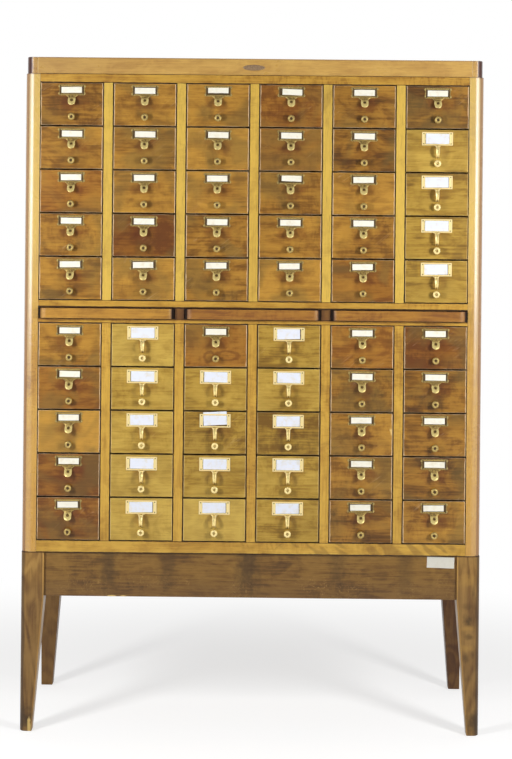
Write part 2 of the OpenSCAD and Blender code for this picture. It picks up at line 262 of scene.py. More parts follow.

# %% [markdown]
# ## Worn edges, painted highlight and painted shade
# A board is worn where hands and shelves meet it, at its edges. On the drawer fronts the same edge mask also
# carries a painted highlight, and on the framing painted shade. Each board also carries its middle and its half
# size. What is left from a point to each of its box's sides is then known, and the middle one of those three
# lengths is how far the nearest edge is. The group also says where hands reach for a pull, which is both worn by
# hands and painted with shade, and where shade is painted on what lies behind the faces, in the gaps between the
# boards.

# %% The edge group
edge_tree, b, given, taken = group_of(
    "worn, lit and shaded edge", {"Width": 0.0025, "Across": 1.9, "Ends": 1.0, "Sunk from": -0.2053, "Sunk over": 0.004},
    ("Wear", "Handled", "Sunk"),
)
place, from_middle = b.place(), b.from_middle()
sideways = b.vector("SCALE", (1.0, 1.0, 1.0), scale=given["Across"])
by_ends = b.vector("SCALE", b.mark("along", "Vector"), scale=b.minus(given["Across"], given["Ends"]))
room = b.vector("SUBTRACT", b.mark("half", "Vector"), b.vector("ABSOLUTE", from_middle))
left_over = b.apart(b.vector("MULTIPLY", room, b.vector("SUBTRACT", sideways, by_ends)))
low, high = (b.calc(which, left_over[0], left_over[1]) for which in ("MINIMUM", "MAXIMUM"))
distance = b.calc("MAXIMUM", low, b.calc("MINIMUM", high, left_over[2]))
width = b.times(given["Width"], b.ease(b.noise(place, 60.0, detail=4.0), 0.25, 0.75, 0.6, 1.25))
# Edges: worn wood on most boards, with a painted highlight on the drawer fronts and painted shade on the framing.
b.feed(taken["Wear"], b.ease(distance, b.times(width, 0.45), width, 1.0, 0.0))
# Round a pull: wood worn by hands, together with painted shade.
around_pull = b.far(from_middle, (0.004, 0.0, 0.008), (0.034, 1.0, 0.026))
b.feed(taken["Handled"], b.ease(b.plus(around_pull, b.ragged(place, 45.0, 3.0, 0.45)), 0.25, 1.15, 1.0, 0.0))
# Behind the front faces, in the gaps: painted shade.
behind = b.minus(b.apart(place)[1], given["Sunk from"])
deeper = b.ease(behind, given["Sunk over"], b.plus(given["Sunk over"], 0.005), 1.0, 0.3)
b.feed(taken["Sunk"], b.times(b.ease(behind, 0.0, 0.0005), deeper))
b.say("worn, lit and shaded edge")

# %% [markdown]
# ## Old varnish
# Varnish of this age is never even. It clouds in broad patches, it darkens where grease sits, and it is scratched.
# The patches come from noise at several sizes, each with its own soft step.

# %% The varnish group
varnish_tree, b, _, taken = group_of("old varnish", {}, ("Mottle", "Cloud", "Smudge", "Scratch", "Haze"))
place = b.vector("ADD", b.place(), b.vector("SCALE", (3.1, 9.7, 6.3), scale=b.mark("seed")))
along = b.mark("along", "Vector")
lengthwise = b.vector("SCALE", along, scale=b.vector("DOT_PRODUCT", place, along))
longer = b.vector("SUBTRACT", place, b.vector("SCALE", lengthwise, scale=0.45))
line = b.calc("ABSOLUTE", b.minus(b.noise(b.slanted(place, 0.9, 20.0), 90.0, detail=1.0), 0.5))
in_places = b.ease(b.noise(place, 16.0, detail=1.0), 0.55, 0.70)
b.feed_all(taken, {
    "Mottle": b.ease(b.noise(longer, 26.0, detail=5.0, roughness=0.6, distortion=0.8), 0.3, 0.7),
    "Cloud": b.ease(b.noise(longer, 11.0, detail=2.0), 0.36, 0.66),
    "Haze": b.ease(b.noise(place, 9.0, detail=2.0, distortion=0.6), 0.46, 0.64),
    "Smudge": b.ease(b.noise(place, 15.0, detail=4.0, distortion=0.6), 0.54, 0.78),
    "Scratch": b.times(b.ease(line, 0.0, 0.012, 1.0, 0.0), in_places),
})
b.say("old varnish")

# %% [markdown]
# ## Spots
# Some marks sit in one place only: a chip out of an edge, a dark patch above a foot. A spot is a soft ball round a
# point, with its border broken up by noise. It is measured in the model's own frame, so it stays on its board.

# %% The spot group
spot_tree, b, given, taken = group_of(
    "spot", {"Place": "Vector", "Reach": (0.02, 0.02, 0.02), "Soft": 0.5}, ("Spot",)
)
place = b.place()
away = b.plus(b.far(place, given["Place"], given["Reach"]), b.ragged(place, 70.0, 4.0, 0.3))
b.feed(taken["Spot"], b.ease(away, b.minus(1.0, given["Soft"]), 1.0, 1.0, 0.0))
b.say("spot")


def spotted(b, colour, marks):
    """Paints each mark, (place, reach, soft, tint, strength), over a board's colour."""
    for place, reach, soft, tint, strength in marks:
        spot = b.use(spot_tree, {"Place": place, "Reach": reach, "Soft": soft})[0]
        colour = b.blend(b.times(spot, strength), colour, tint)
    return colour


# %% [markdown]
# ## The woods
# All the boards share one recipe: a light and a dark tone meet along the grain, age clouds them, wear lightens the
# edges, and varnish lies over it. Some boards also carry painted light: a highlight along the drawer fronts' edges,
# and painted shade along the framing's edges, in the gaps behind the faces and round the pulls. The recipe's colours
# and amounts make it golden case wood, brown drawer wood or bare box wood. A board's own tone is a mark on its mesh:
# below nought darkens it, above lightens it, and redness pulls it to the old red stain.


# %% A wood
def wood(
    name, light, dark, deep, red, pale, worn, figure=0.15, fibre=0.4, mottle=0.45, curl=0.25, cloud=0.3, smudge=0.3,
    edge=0.002, edge_share=0.3, gloss=0.34, shine=0.3, coat=0.2, rings=30.0, figure_scale=13.0, handled=0.0,
    sunk=0.0, haze=0.0, across=1.9, board_ends=1.0, sunk_from=-0.2053, sunk_over=0.004, shiny_ends=None, extra=None
):
    """shiny_ends: from where to where, outwards, the varnish grows full, and from where to where it thins again."""
    finish, b, shader = new_finish(name)
    grain = b.use(grain_tree, {"Figure scale": figure_scale, "Rings": rings})
    varnish = b.use(varnish_tree)
    behind = {"Sunk from": sunk_from, "Sunk over": sunk_over}
    edges = b.use(edge_tree, {"Width": edge, "Across": across, "Ends": board_ends} | behind)
    tone = b.mark("tone")
    share = b.times(grain["Figure"], figure)
    for value, amount in ((grain["Fibre"], fibre), (varnish["Mottle"], mottle), (grain["Curl"], curl)):
        share = b.plus(share, b.times(value, amount))
    share = b.ease(b.times(share, 1.0 / (figure + fibre + mottle + curl)), 0.12, 0.88)
    share = b.minus(b.plus(share, b.times(varnish["Cloud"], cloud)), b.times(tone, 0.62))
    colour = b.paint(
        b.blend(share, light, dark),
        (b.ease(share, 0.75, 1.75), deep),
        (b.times(b.mark("redness"), 0.5), red),
        (b.times(b.calc("MAXIMUM", tone, 0.0), 0.5), pale),
        (b.times(varnish["Smudge"], smudge), deep),
        (b.times(grain["Pores"], 0.3), deep),
    )
    if haze:
        colour = b.paint(colour, (b.times(varnish["Haze"], haze), (112, 90, 44)))
    # Round the pull: wood worn by hands, together with painted shade.
    if handled:
        colour = b.paint(colour, (b.times(edges["Handled"], handled), (104, 50, 18)))
    if extra:
        colour = extra(b, colour)
    # Edges: worn wood, with a painted highlight on the drawer fronts and painted shade on the framing.
    colour = b.paint(colour, (b.times(edges["Wear"], edge_share), worn), (b.times(varnish["Scratch"], 0.14), worn))
    rough = b.plus(b.times(varnish["Mottle"], 0.12), b.times(edges["Wear"], 0.1))
    # Painted shade on what lies behind the front faces, in the gaps; the varnish coat is taken away there too.
    if sunk:
        colour = b.paint(colour, (b.times(edges["Sunk"], sunk), (22, 8, 2)))
        rough = b.plus(rough, b.times(edges["Sunk"], 0.5))
        coat = b.ease(edges["Sunk"], 0.0, 1.0, coat, 0.0)
    elif shiny_ends:
        aside = b.calc("ABSOLUTE", b.apart(b.place())[0])
        coat = b.times(b.ease(aside, *shiny_ends[:2], coat, 1.0), b.ease(aside, *shiny_ends[2:], 1.0, 0.2))
    b.feed_all(shader, {
        "Base Color": colour,
        "Roughness": b.plus(rough, gloss),
        "Specular IOR Level": shine,
        "Coat Weight": coat,
        "Coat Roughness": 0.22 if shiny_ends else 0.15,
        "Coat IOR": 2.0 if shiny_ends else 1.5,
    })
    b.emboss(shader, grain["Height"], 0.05, 0.002)
    b.say(name)
    return finish


# %% [markdown]
# ## The case's woods
# The stiles, the side panels, the boards and the top are one golden wood in several tones. What belongs to one
# of them only, such as painted shade round the shelves' slot or painted light on the stiles, is laid on by a
# function of its own.

# %% Stiles and side panels
# The second colour here is painted shade, laid along the framing's edges beside the drawers and over the shelves'
# slot.
bare, gap_line_shade = (222, 190, 116), (42, 14, 6)
case_red = (150, 92, 40)


def stile_tones_and_painted_light(b, colour):
    """Stiles: paler above and darker below, painted highlight and painted shade on the round corner, painted shadow
    under the top.
    """
    sideways, _, height = b.apart(b.place())
    aside = b.calc("ABSOLUTE", sideways)
    return b.paint(
        colour,
        (b.ease(height, 0.85, 1.2, 0.0, 0.38), (232, 208, 122)),
        (b.ease(height, 0.45, 0.8, 0.6, 0.0), (196, 142, 26)),
        # Painted highlight: a paler band where the varnish shines on the round corner.
        (b.times(b.ease(aside, 0.5065, 0.5090), b.ease(height, 0.72, 1.0, 0.0, 0.4)), (214, 198, 176)),
        # Painted shade on the outer part of the round corner, which turns away from the lamps.
        (b.ease(aside, 0.5165, 0.5190, 0.0, 0.8), (144, 98, 52)),
        # Painted shadow: a dark line under the top.
        (b.ease(height, 1.5085, 1.5095, 0.0, 0.6), (84, 44, 30)),
    )


case_wood = wood(
    "case_wood", (204, 158, 68), (172, 124, 48), (128, 84, 34), case_red, (232, 204, 106), (236, 212, 156),
    mottle=0.4, cloud=0.25, edge=0.0016, gloss=0.24, shine=0.5, coat=0.5, rings=22.0,
    shiny_ends=(0.502, 0.508, 0.5165, 0.520), extra=stile_tones_and_painted_light,
)
panel_wood = wood(
    "side_panel_wood", (196, 150, 64), (160, 114, 44), (120, 78, 32), case_red, (214, 176, 88), (214, 176, 108),
    figure=0.55, fibre=0.5, mottle=0.35, curl=0.2, gloss=0.36, shine=0.4, coat=0.25, rings=34.0, figure_scale=7.0,
)


# %% Boards and dividers
def slot_shade_and_curls(b, colour):
    """Painted shade in and round the slot of the shelves, and curly figure at one end of the lowest board."""
    place = b.place()
    sideways, _, height = b.apart(place)
    height = b.plus(height, b.ragged(place, 30.0, 3.0, 0.0005))
    over_slot = b.band(height, 0.972, 0.974, 0.9768, 0.9778)
    in_slot = b.band(height, 0.9485, 0.9495, 0.972, 0.974)
    under_slot = b.band(height, 0.9435, 0.9475, 0.949, 0.950, 0.6)
    curls = b.ease(b.noise(b.slanted(place, -0.9, 2.6), 48.0, detail=1.0, distortion=0.3), 0.49, 0.63)
    lowest_board = b.times(b.ease(height, 0.438, 0.4395, 1.0, 0.0), b.ease(sideways, 0.02, 0.12))
    return b.paint(
        colour,
        # Painted shadow of the bars on the faces in the slot between them.
        (b.times(in_slot, 0.85), (104, 66, 34)),
        # Painted shadow under the bars.
        (under_slot, (120, 74, 34)),
        # Painted shade: the dark line in the gap over the bars.
        (b.times(over_slot, 0.92), gap_line_shade),
        (b.times(curls, lowest_board, 0.42), (104, 70, 32)),
    )


# The framing's edges are darkened with painted shade, which widens the gap lines round the drawers; painted shade also
# fills the gaps behind its faces.
framing_wood = wood(
    "framing_wood", (206, 162, 66), (168, 122, 42), (112, 72, 28), case_red, (228, 204, 98), gap_line_shade,
    smudge=0.35, edge=0.0031, edge_share=0.92, gloss=0.32, shine=0.4, rings=22.0, sunk=0.98, board_ends=8.0,
    sunk_from=-0.2062, extra=slot_shade_and_curls,
)


# %% The top
def dark_ends(b, colour):
    """The top is near to black at its ends, past the bend of its round corners, and darker along its top rim and on
    the left.
    """
    sideways, to_back, height = b.apart(b.place())
    rim = b.times(b.ease(height, 1.545, 1.548, 0.0, 0.5), b.ease(to_back, -0.2030, -0.2015, 1.0, 0.0))
    darkened_end = b.times(b.ease(b.calc("ABSOLUTE", sideways), 0.5105, 0.5125), 0.95)
    return b.paint(
        colour,
        (b.ease(sideways, -0.46, -0.2, 0.3, 0.0), (116, 80, 50)),
        (rim, (120, 88, 62)),
        (darkened_end, (58, 16, 18)),
    )


cap_wood = wood(
    "cap_wood", (212, 168, 82), (182, 136, 58), (134, 88, 42), (92, 50, 36), (204, 164, 96), (214, 178, 110),
    figure=0.2, fibre=0.35, smudge=0.2, edge=0.0024, edge_share=0.55, gloss=0.26, shine=0.5, coat=0.6, rings=18.0,
    shiny_ends=(0.500, 0.506, 0.511, 0.514), extra=dark_ends,
)


# %% The stand and the back
def stand_marks(b, colour):
    """Bands on rail and right leg; painted highlight on the legs' inner edges, painted shade on outer ones and under
    the case.
    """
    brown, amber, foot_dirt = (52, 36, 20), (176, 136, 68), (50, 38, 24)
    front = -0.2
    rail_bands = (
        (-0.326, 0.030, 0.6), (-0.190, 0.028, 0.45), (-0.006, 0.040, 0.7), (0.200, 0.030, 0.4), (0.355, 0.028, 0.35),
    )
    leg_bands = (
        (0.501, 0.265, 0.014, 0.022, 0.75), (0.504, 0.226, 0.018, 0.010, 0.5), (0.496, 0.178, 0.010, 0.016, 0.5),
        (0.512, 0.186, 0.007, 0.011, 0.45), (0.499, 0.296, 0.018, 0.013, 0.35), (0.513, 0.335, 0.007, 0.034, 0.4),
        (0.503, 0.130, 0.014, 0.012, 0.25),
    )
    leg_glow = ((0.246, 0.009), (0.201, 0.012), (0.355, 0.022))
    chips = ((-0.318, 0.013, 0.0035), (-0.291, 0.010, 0.003))
    marks = [((x, front, 0.385), (wide, 0.05, 0.11), 0.95, brown, strong) for x, wide, strong in rail_bands]
    marks += [((x, front, z), (wide, 0.05, tall), 0.95, brown, strong) for x, z, wide, tall, strong in leg_bands]
    marks += [((0.500, front, z), (0.022, 0.05, tall), 0.9, amber, 0.5) for z, tall in leg_glow]
    marks += [((x, front, 0.03), (0.035, 0.05, 0.04), 0.95, foot_dirt, 0.65) for x in (-0.52, 0.52)]
    marks += [((x, front, 0.3105), (wide, 0.02, tall), 0.5, bare, 0.8) for x, wide, tall in chips]
    marks += [((-0.5045, -0.206, 0.012), (0.005, 0.03, 0.020), 0.4, bare, 0.9)]
    place = b.place()
    sideways, to_back, height = b.apart(place)
    aside = b.calc("ABSOLUTE", sideways)
    in_front = b.ease(to_back, -0.18, -0.17, 1.0, 0.0)
    taper = b.add("ShaderNodeMapRange", {0: height, 1: 0.0, 2: 0.31, 3: 0.499, 4: 0.474}).outputs[0]
    inner = b.band(b.minus(aside, taper), -0.001, 0.0, 0.002, 0.0045, 0.75)
    wavering = b.ragged(b.vector("MULTIPLY", place, (1.0, 1.0, 0.2)), 60.0, 3.0, 0.002)
    outer = b.ease(b.plus(aside, wavering), 0.5165, 0.5205, 0.0, 0.6)
    lines = b.calc("ABSOLUTE", b.minus(b.noise(place, 60.0, detail=2.0, distortion=1.2), 0.5))
    tracks = b.times(
        b.ease(lines, 0.0, 0.014, 0.6, 0.0), b.ease(height, 0.335, 0.375, 1.0, 0.0),
        b.ease(b.noise(place, 14.0), 0.45, 0.6), b.ease(aside, 0.46, 0.47, 1.0, 0.0),
    )
    colour = b.paint(
        colour,
        (tracks, (186, 146, 82)),
        # Painted shade on the legs' outer, rounded edges.
        (b.times(outer, in_front), brown),
        # Painted highlight along the legs' inner edges.
        (b.times(inner, in_front), (196, 152, 82)),
        (b.ease(height, 0.312, 0.372, 0.3, 0.0), (84, 60, 44)),
        # Painted shadow: a dark line under the case, where it stands out over the stand.
        (b.ease(height, 0.4088, 0.4105, 0.0, 0.85), (52, 24, 10)),
    )
    return spotted(b, colour, marks)


stand_tones = ((62, 40, 22), (108, 62, 22), (176, 134, 66), (166, 128, 68))
rail_wood = wood(
    "rail_wood", (144, 108, 50), (118, 84, 36), *stand_tones, figure=0.08, fibre=0.5, curl=0.1, smudge=0.2,
    edge_share=0.4, rings=24.0, board_ends=1.9, extra=stand_marks,
)
leg_wood = wood(
    "leg_wood", (168, 130, 70), (118, 84, 42), *stand_tones, figure=0.7, fibre=0.6, mottle=0.4, cloud=0.35,
    smudge=0.25, edge_share=0.15, coat=0.1, rings=60.0, extra=stand_marks,
)
back_wood = wood(
    "back_wood", (168, 122, 66), (134, 92, 46), (96, 62, 32), (96, 54, 28), (168, 128, 68), (150, 110, 64),
    figure=0.5, fibre=0.5, mottle=0.25, curl=0.0, cloud=0.2, smudge=0.15, gloss=0.5, shine=0.25, coat=0.0,
    rings=34.0, figure_scale=9.0,
)

# %% [markdown]
# ## The woods that slide
# The older fronts are brown and much worn by hands, and the newer ones yellow and cleaner. The shelves' bars are
# painted dark as shade where they turn into the case. The drawers' boxes were never varnished, and show their joints.


# %% Fronts
def swirl(b, colour):
    """A knot's rings low on one front, beside its knob, and a chip at the edge of another."""
    place = b.place()
    lobes = (((-0.059, -0.2, 0.866), (0.034, 1.0, 0.013)), ((-0.099, -0.2, 0.864), (0.014, 1.0, 0.016)))
    away = b.calc("MINIMUM", *(b.far(place, middle, reach) for middle, reach in lobes))
    wobble = b.times(b.noise(place, 40.0, detail=2.0, distortion=0.8), 5.0)
    rings = b.ease(b.calc("SINE", b.plus(b.times(away, 7.0), wobble)), -0.6, 1.0)
    colour = b.paint(colour, (b.times(rings, b.ease(away, 0.7, 1.9, 1.0, 0.0), 0.5), (92, 46, 20)))
    return spotted(b, colour, [((0.325, -0.2, 0.694), (0.010, 0.03, 0.012), 0.5, bare, 0.9)])


# The fronts' pale edges are worn wood and a painted highlight, widest on the upright edges; their gaps get painted
# shade.
older_wood = wood(
    "older_drawer_wood", (184, 136, 54), (137, 93, 32), (76, 46, 16), (144, 76, 24), (196, 148, 62), (232, 200, 160),
    figure=0.05, fibre=0.3, curl=0.1, cloud=0.4, smudge=0.35, edge=0.0028, edge_share=0.75, gloss=0.3, handled=0.5,
    sunk=0.98, haze=0.5, across=2.8, extra=swirl,
)
newer_wood = wood(
    "newer_drawer_wood", (196, 162, 74), (162, 127, 48), (112, 80, 28), (150, 98, 40), (208, 176, 90), (222, 192, 138),
    figure=0.05, curl=0.12, smudge=0.35, edge=0.0026, edge_share=0.5, coat=0.15, rings=20.0, handled=0.3,
    sunk=0.97, haze=0.15, across=2.8,
)


# %% Shelves and boxes
def bar_end_shade(b, colour):
    """A shelf's bar is painted dark as shade where its round end turns into the case."""
    across = b.apart(b.vector("ABSOLUTE", b.from_middle()))[0]
    from_end = b.minus(b.apart(b.mark("half", "Vector"))[0], across)
    return b.paint(colour, (b.ease(from_end, 0.004, 0.011, 0.85, 0.0), (58, 28, 18)))


def dovetails(b, colour):
    """Darker end grain where the sides of a drawer are dovetailed into its front."""
    _, to_back, height = b.apart(b.from_middle())
    half = b.apart(b.mark("half", "Vector"))
    from_front = b.plus(to_back, half[1])
    tails = b.minus(b.calc("PINGPONG", b.plus(height, 0.5), 0.0075), b.times(from_front, 0.18))
    is_side = b.calc("LESS_THAN", half[0], 0.007)
    mask = b.times(b.ease(from_front, 0.0085, 0.0089, 1.0, 0.0), is_side, b.ease(tails, 0.0033, 0.0037))
    return b.paint(colour, (b.times(mask, 0.75), (118, 78, 42)))


# The shelves get painted shade at their bars' ends and behind their bars' faces.
shelf_wood = wood(
    "shelf_wood", (184, 134, 50), (136, 90, 28), (84, 48, 24), (142, 78, 36), (202, 152, 62), (214, 172, 104),
    fibre=0.45, mottle=0.4, curl=0.2, edge=0.0014, edge_share=0.2, gloss=0.3, shine=0.4, coat=0.5, sunk=0.97,
    board_ends=1.9, sunk_from=-0.2182, sunk_over=0.013, extra=bar_end_shade,
)
box_wood = wood(
    "box_wood", (214, 180, 122), (176, 138, 84), (132, 98, 60), (150, 100, 60), (224, 196, 142), (224, 200, 152),
    figure=0.35, fibre=0.6, mottle=0.4, curl=0.2, cloud=0.35, edge=0.0015, gloss=0.6, coat=0.0, extra=dovetails,
)

# %% [markdown]
# ## Boards with worn edges
# The model's solids have knife-sharp edges, and real ones never do. Each board gets a copy: its loose triangles are
# merged, its flat faces joined, its square edges rounded, and its marks written on it. The normals are weighted by
# face size, so that the small round faces blend into the large flat ones.


# %% Helpers for the boards
def hanging_together(bm):
    """The faces of each board."""
    boards, seen = [], set()
    for start in bm.faces:
        if start in seen:
            continue
        board, waiting = [], [start]
        seen.add(start)
        while waiting:
            face = waiting.pop()
            board.append(face)
            for edge in face.edges:
                for other in edge.link_faces:
                    if other not in seen:
                        seen.add(other)
                        waiting.append(other)
        boards.append(board)
    return boards


def box_of(faces):
    places = np.array([corner.co[:] for face in faces for corner in face.verts])
    return places.min(0), places.max(0)


def weigh_normals(mesh):
    """Rounds the shading, with each normal following its largest faces."""
    total = np.zeros((len(mesh.vertices), 3))
    for face in mesh.polygons:
        total[list(face.vertices)] += np.array(face.normal) * face.area
    length = np.linalg.norm(total, axis=1, keepdims=True)
    mesh.shade_smooth()
    mesh.normals_split_custom_set_from_vertices((total / np.maximum(length, 1e-12)).tolist())


def new_piece(name, mesh):
    made = bpy.data.objects.new(name, mesh)
    scene.collection.objects.link(made)
    return made


def seed_of(middle):
    """A number from 0 to 1 that only this board has, from where it is."""
    return math.sin(middle @ np.array((129.898, 78.233, 377.19))) * 437.585 % 1


print("seeds of two boards:", [round(seed_of(np.array((x, 0.0, 1.0))), 3) for x in (0.0, 0.168)])


# %% Dress a node's boards
def dressed(name, node, finishes, body, about, round_off):
    """A worn copy of a node's boards. about(low, high) tells a board's marks, or None where it is left out."""
    bm = bmesh.new()
    bm.from_mesh(nodes[node].data)
    bmesh.ops.remove_doubles(bm, verts=bm.verts, dist=1e-5)
    for board in hanging_together(bm):
        if about(*box_of(board)) is None:
            bmesh.ops.delete(bm, geom=board, context="FACES")
    bmesh.ops.dissolve_limit(bm, angle_limit=math.radians(1), verts=bm.verts, edges=bm.edges)
    square = [e for e in bm.edges if len(e.link_faces) == 2 and e.calc_face_angle(0) > math.radians(60)]
    if round_off and square:
        bmesh.ops.bevel(
            bm, geom=square, offset=round_off, segments=2, profile=0.5, affect="EDGES", offset_type="OFFSET"
        )
    layers = bm.verts.layers
    vectors = {k: layers.float_vector.new(k) for k in ("middle", "half", "along")}
    numbers = {k: layers.float.new(k) for k in ("seed", "tone", "redness")}
    for board in hanging_together(bm):
        low, high = box_of(board)
        middle, half = (low + high) / 2, (high - low) / 2
        along = [0.0, 0.0, 0.0]
        along[int(np.argmax(half))] = 1.0
        told = about(low, high)
        marks = {"middle": middle, "half": half, "along": along, "seed": seed_of(middle)}
        marks |= {"tone": told.get("tone", 0.0), "redness": told.get("redness", 0.0)}
        for face in board:
            face.material_index = told.get("finish", 0)
            for corner in face.verts:
                for mark, layer in (vectors | numbers).items():
                    corner[layer] = marks[mark]
    mesh = bpy.data.meshes.new(name)
    bm.to_mesh(mesh)
    bm.free()
    weigh_normals(mesh)
    for finish in finishes:
        mesh.materials.append(finish)
    piece = new_piece(name, mesh)
    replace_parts(piece, node)
    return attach(piece, body)


print("the largest node has", max(len(node.data.polygons) for node in nodes.values()), "triangles")


# %% [markdown]
# ## The fixed case
# Top, boards, sides, back, dividers, runners and stand stay still. Their grain follows their longest side. The
# rear legs are stained darker and redder than the rest.


# %% Dress the case
def plain(**told):
    return lambda low, high: told


def rear_darker(low, high):
    if low[1] > 0.1:
        return {"tone": 0.3 if low[0] < 0 else -1.0, "redness": 0.8}
    return {"tone": 0.1 if high[2] - low[2] > 0.3 else -0.2}


def upper_lighter(low, high):
    if low[2] > 0.98:
        return {"tone": 0.42 if abs(low[0] + high[0]) < 0.02 else 0.62}
    # The short dividers between the shelves get a dark tone, which stands for painted shadow of the shelves' bars.
    return {"tone": 0.08 if low[2] < 0.9 else -1.1}


def stile_shines(low, high):
    return {"finish": 0 if low[1] < -0.18 else 1}


def low_lighter(low, high):
    return {"tone": -0.4 if low[2] > 1.4 else -0.15 if low[2] > 0.5 else 0.1}


case_pieces = (
    ("cap", "top_cap", cap_wood, "cap_wood", plain(), 1.2 * mm),
    ("boards", "case_boards", framing_wood, "case_wood", low_lighter, 0.7 * mm),
    ("side_left", "left_side", case_wood, "case_wood", stile_shines, 0.9 * mm),
    ("side_right", "right_side", case_wood, "case_wood", stile_shines, 0.9 * mm),
    ("back", "back_panel", back_wood, "case_wood", plain(), 0.7 * mm),
    ("dividers", "column_dividers", framing_wood, "case_wood", upper_lighter, 0.6 * mm),
    ("runners", "drawer_runners", box_wood, "box_wood", plain(), 0.0),
    ("stand_legs", "legs", leg_wood, "rail_wood", rear_darker, 1.2 * mm),
    ("stand_boards", "stand_rails", rail_wood, "rail_wood", rear_darker, 0.9 * mm),
    ("stand_blocks", "corner_blocks", rail_wood, "rail_wood", plain(tone=-0.2), 0.9 * mm),
)
for name, node, finish, slot, about, round_off in case_pieces:
    finishes = [finish, panel_wood] if finish == case_wood else [finish]
    dressed(name, node, finishes, "cabinet", about, round_off)
print("dressed", len(case_pieces), "pieces of the case")


# %% Dress the shelves
def ease_ends(mesh, radius, longer):
    """Draws the round ends of a shelf's bar out along it, from quarter circles to quarter ellipses."""
    places = np.array([corner.co[:] for corner in mesh.vertices])
    bar = places[:, 1] < places[:, 1].min() + 25 * mm
    low, high = places[bar, 0].min(), places[bar, 0].max()
    for side, end in ((1, low), (-1, high)):
        way_in = side * (places[:, 0] - end)
        round_part = bar & (way_in < radius + 0.05 * mm)
        places[round_part, 0] = end + side * way_in[round_part] * longer / radius
    mesh.vertices.foreach_set("co", places.ravel())
    mesh.update()
    weigh_normals(mesh)


shelf_tones = {"left": (0.2, 0.0), "middle": (-0.15, 0.5), "right": (-0.25, 0.4)}
for side, (tone, redness) in shelf_tones.items():
    about = plain(tone=tone, redness=redness)
    piece = dressed("board_" + side, "shelf_" + side, [shelf_wood], "shelf_" + side, about, 0.8 * mm)
    ease_ends(piece.data, radius=14.0 * mm, longer=21.0 * mm)
print("dressed", len(shelf_tones), "shelves")

# %% [markdown]
# ## The drawers
# Sixty drawers stand in ten rows and six columns. Some fronts were stained almost black, some red, some stayed
# light, and eighteen are newer, in a yellower wood, with larger frames. The tone of each is noted here by row and
# column, as a finisher would note it.

# %% What sets the drawers apart
column_pitch, row_pitch = 168 * mm, 100 * mm
upper_floor, lower_floor, front_gap = 991 * mm, 439 * mm, 1.5 * mm
face_y = -205.5 * mm
rod_z = 19.5
columns = range(1, 7)


def column_x(column):
    return (column - 3.5) * column_pitch


def row_z(row):
    rows_below, floor = (5 - row, upper_floor) if row <= 5 else (10 - row, lower_floor)
    return floor + rows_below * row_pitch + front_gap


def is_newer(row, column):
    return (column == 6 and 2 <= row <= 5) or (column in (2, 4) and row >= 6) or (column == 3 and row >= 7)


print(sum(is_newer(row, c) for row in range(1, 11) for c in columns), "of the drawers are newer")

# %% Tones and stains
TONES = {
    -1.5: {(4, 2)},
    -1.05: {(9, 1), (6, 6), (10, 1), (8, 4)},
    -0.75: {(1, 1), (2, 5), (8, 3), (10, 5), (1, 6), (7, 6), (9, 6), (3, 6), (4, 6), (6, 4)},
    -0.4: {(1, 5), (5, 6), (2, 4), (3, 4), (4, 3), (5, 3), (7, 1), (7, 5), (8, 6), (10, 4), (9, 3), (5, 5)},
    -0.2: {(1, 4), (9, 4), (2, 6), (7, 3)},
    0.3: {(3, 2), (3, 3), (3, 5), (5, 4), (6, 2), (9, 2), (10, 2), (5, 2)},
    0.6: {(2, 3), (10, 3)},
    0.9: {(8, 1)},
}
REDDISH = {(1, 4), (2, 4), (3, 1), (4, 2), (5, 5), (6, 3), (6, 5), (6, 6), (7, 1), (9, 1), (10, 1)}


def drawer_marks(row, column):
    tone = next((tone for tone, drawers in TONES.items() if (row, column) in drawers), 0.0)
    redness = 0.5 if (row, column) in REDDISH else 0.0
    return {"tone": tone, "redness": redness, "finish": int(is_newer(row, column))}


print("tones of the fourth row:", [drawer_marks(4, c)["tone"] for c in columns])


# %% Pick a drawer's parts
def part_of_drawer(low, high):
    """Which part of a drawer a solid is, by its size and its place behind the front's face."""
    wide, _, tall = high - low
    if low[1] < face_y - 1 * mm:
        return "brass"
    if wide < 9 * mm and tall < 9 * mm:
        return "rod"
    return "front" if wide > 120 * mm and low[1] < face_y + 1 * mm else "box"


def front_only(row):
    """Picks the fronts of a row, and tells what sets each apart."""

    def about(low, high):
        column = round(float(low[0] + high[0]) / 2 / column_pitch + 3.5)
        return drawer_marks(row, column) if part_of_drawer(low, high) == "front" else None

    return about


def box_only(low, high):
    """Picks the boxes, and the rods with a finish of their own."""
    return {"box": {"finish": 0}, "rod": {"finish": 1}}.get(part_of_drawer(low, high))


print("8 mm wide and high is a", part_of_drawer(np.zeros(3), np.array((0.008, 0.3, 0.008))))


# %% [markdown]
# ## Brass
# The frames and pulls are cast and pressed brass. Lacquer has gone from their rims, which shine, while the hollows
# are brown with tarnish. Their meshes carry that as a mark called bright, so the finish follows the shape itself.
# On the bell pull the mark also holds painted shade: its root and the very end of its tip are darker.


# %% The brass finish
def brass_finish(name, plated, shine, warm, tarnish):
    """bright goes from 0, tarnished, over 1, polished, to 2, the pale plating of the newer fittings."""
    finish, b, shader = new_finish(name)
    bright = b.mark("bright")
    patches = b.ease(b.noise(b.place(), 260.0, detail=4.0), 0.3, 0.7, -0.2, 0.2)
    uneven = b.plus(bright, patches)
    share, plating = b.ease(uneven, 0.1, 0.95), b.ease(uneven, 1.2, 1.8)
    polished = b.blend(b.ease(bright, 0.45, 1.0), warm, shine)
    b.feed_all(shader, {
        "Base Color": b.blend(plating, b.blend(share, tarnish, polished), plated),
        "Metallic": b.minus(b.ease(share, 0.0, 0.6, 0.3, 0.7), b.times(plating, 0.2)),
        "Roughness": b.plus(b.ease(share, 0.0, 1.0, 0.55, 0.26), b.times(plating, 0.12)),
    })
    b.emboss(shader, patches, 0.08, 0.001)
    b.say(name)
    return finish


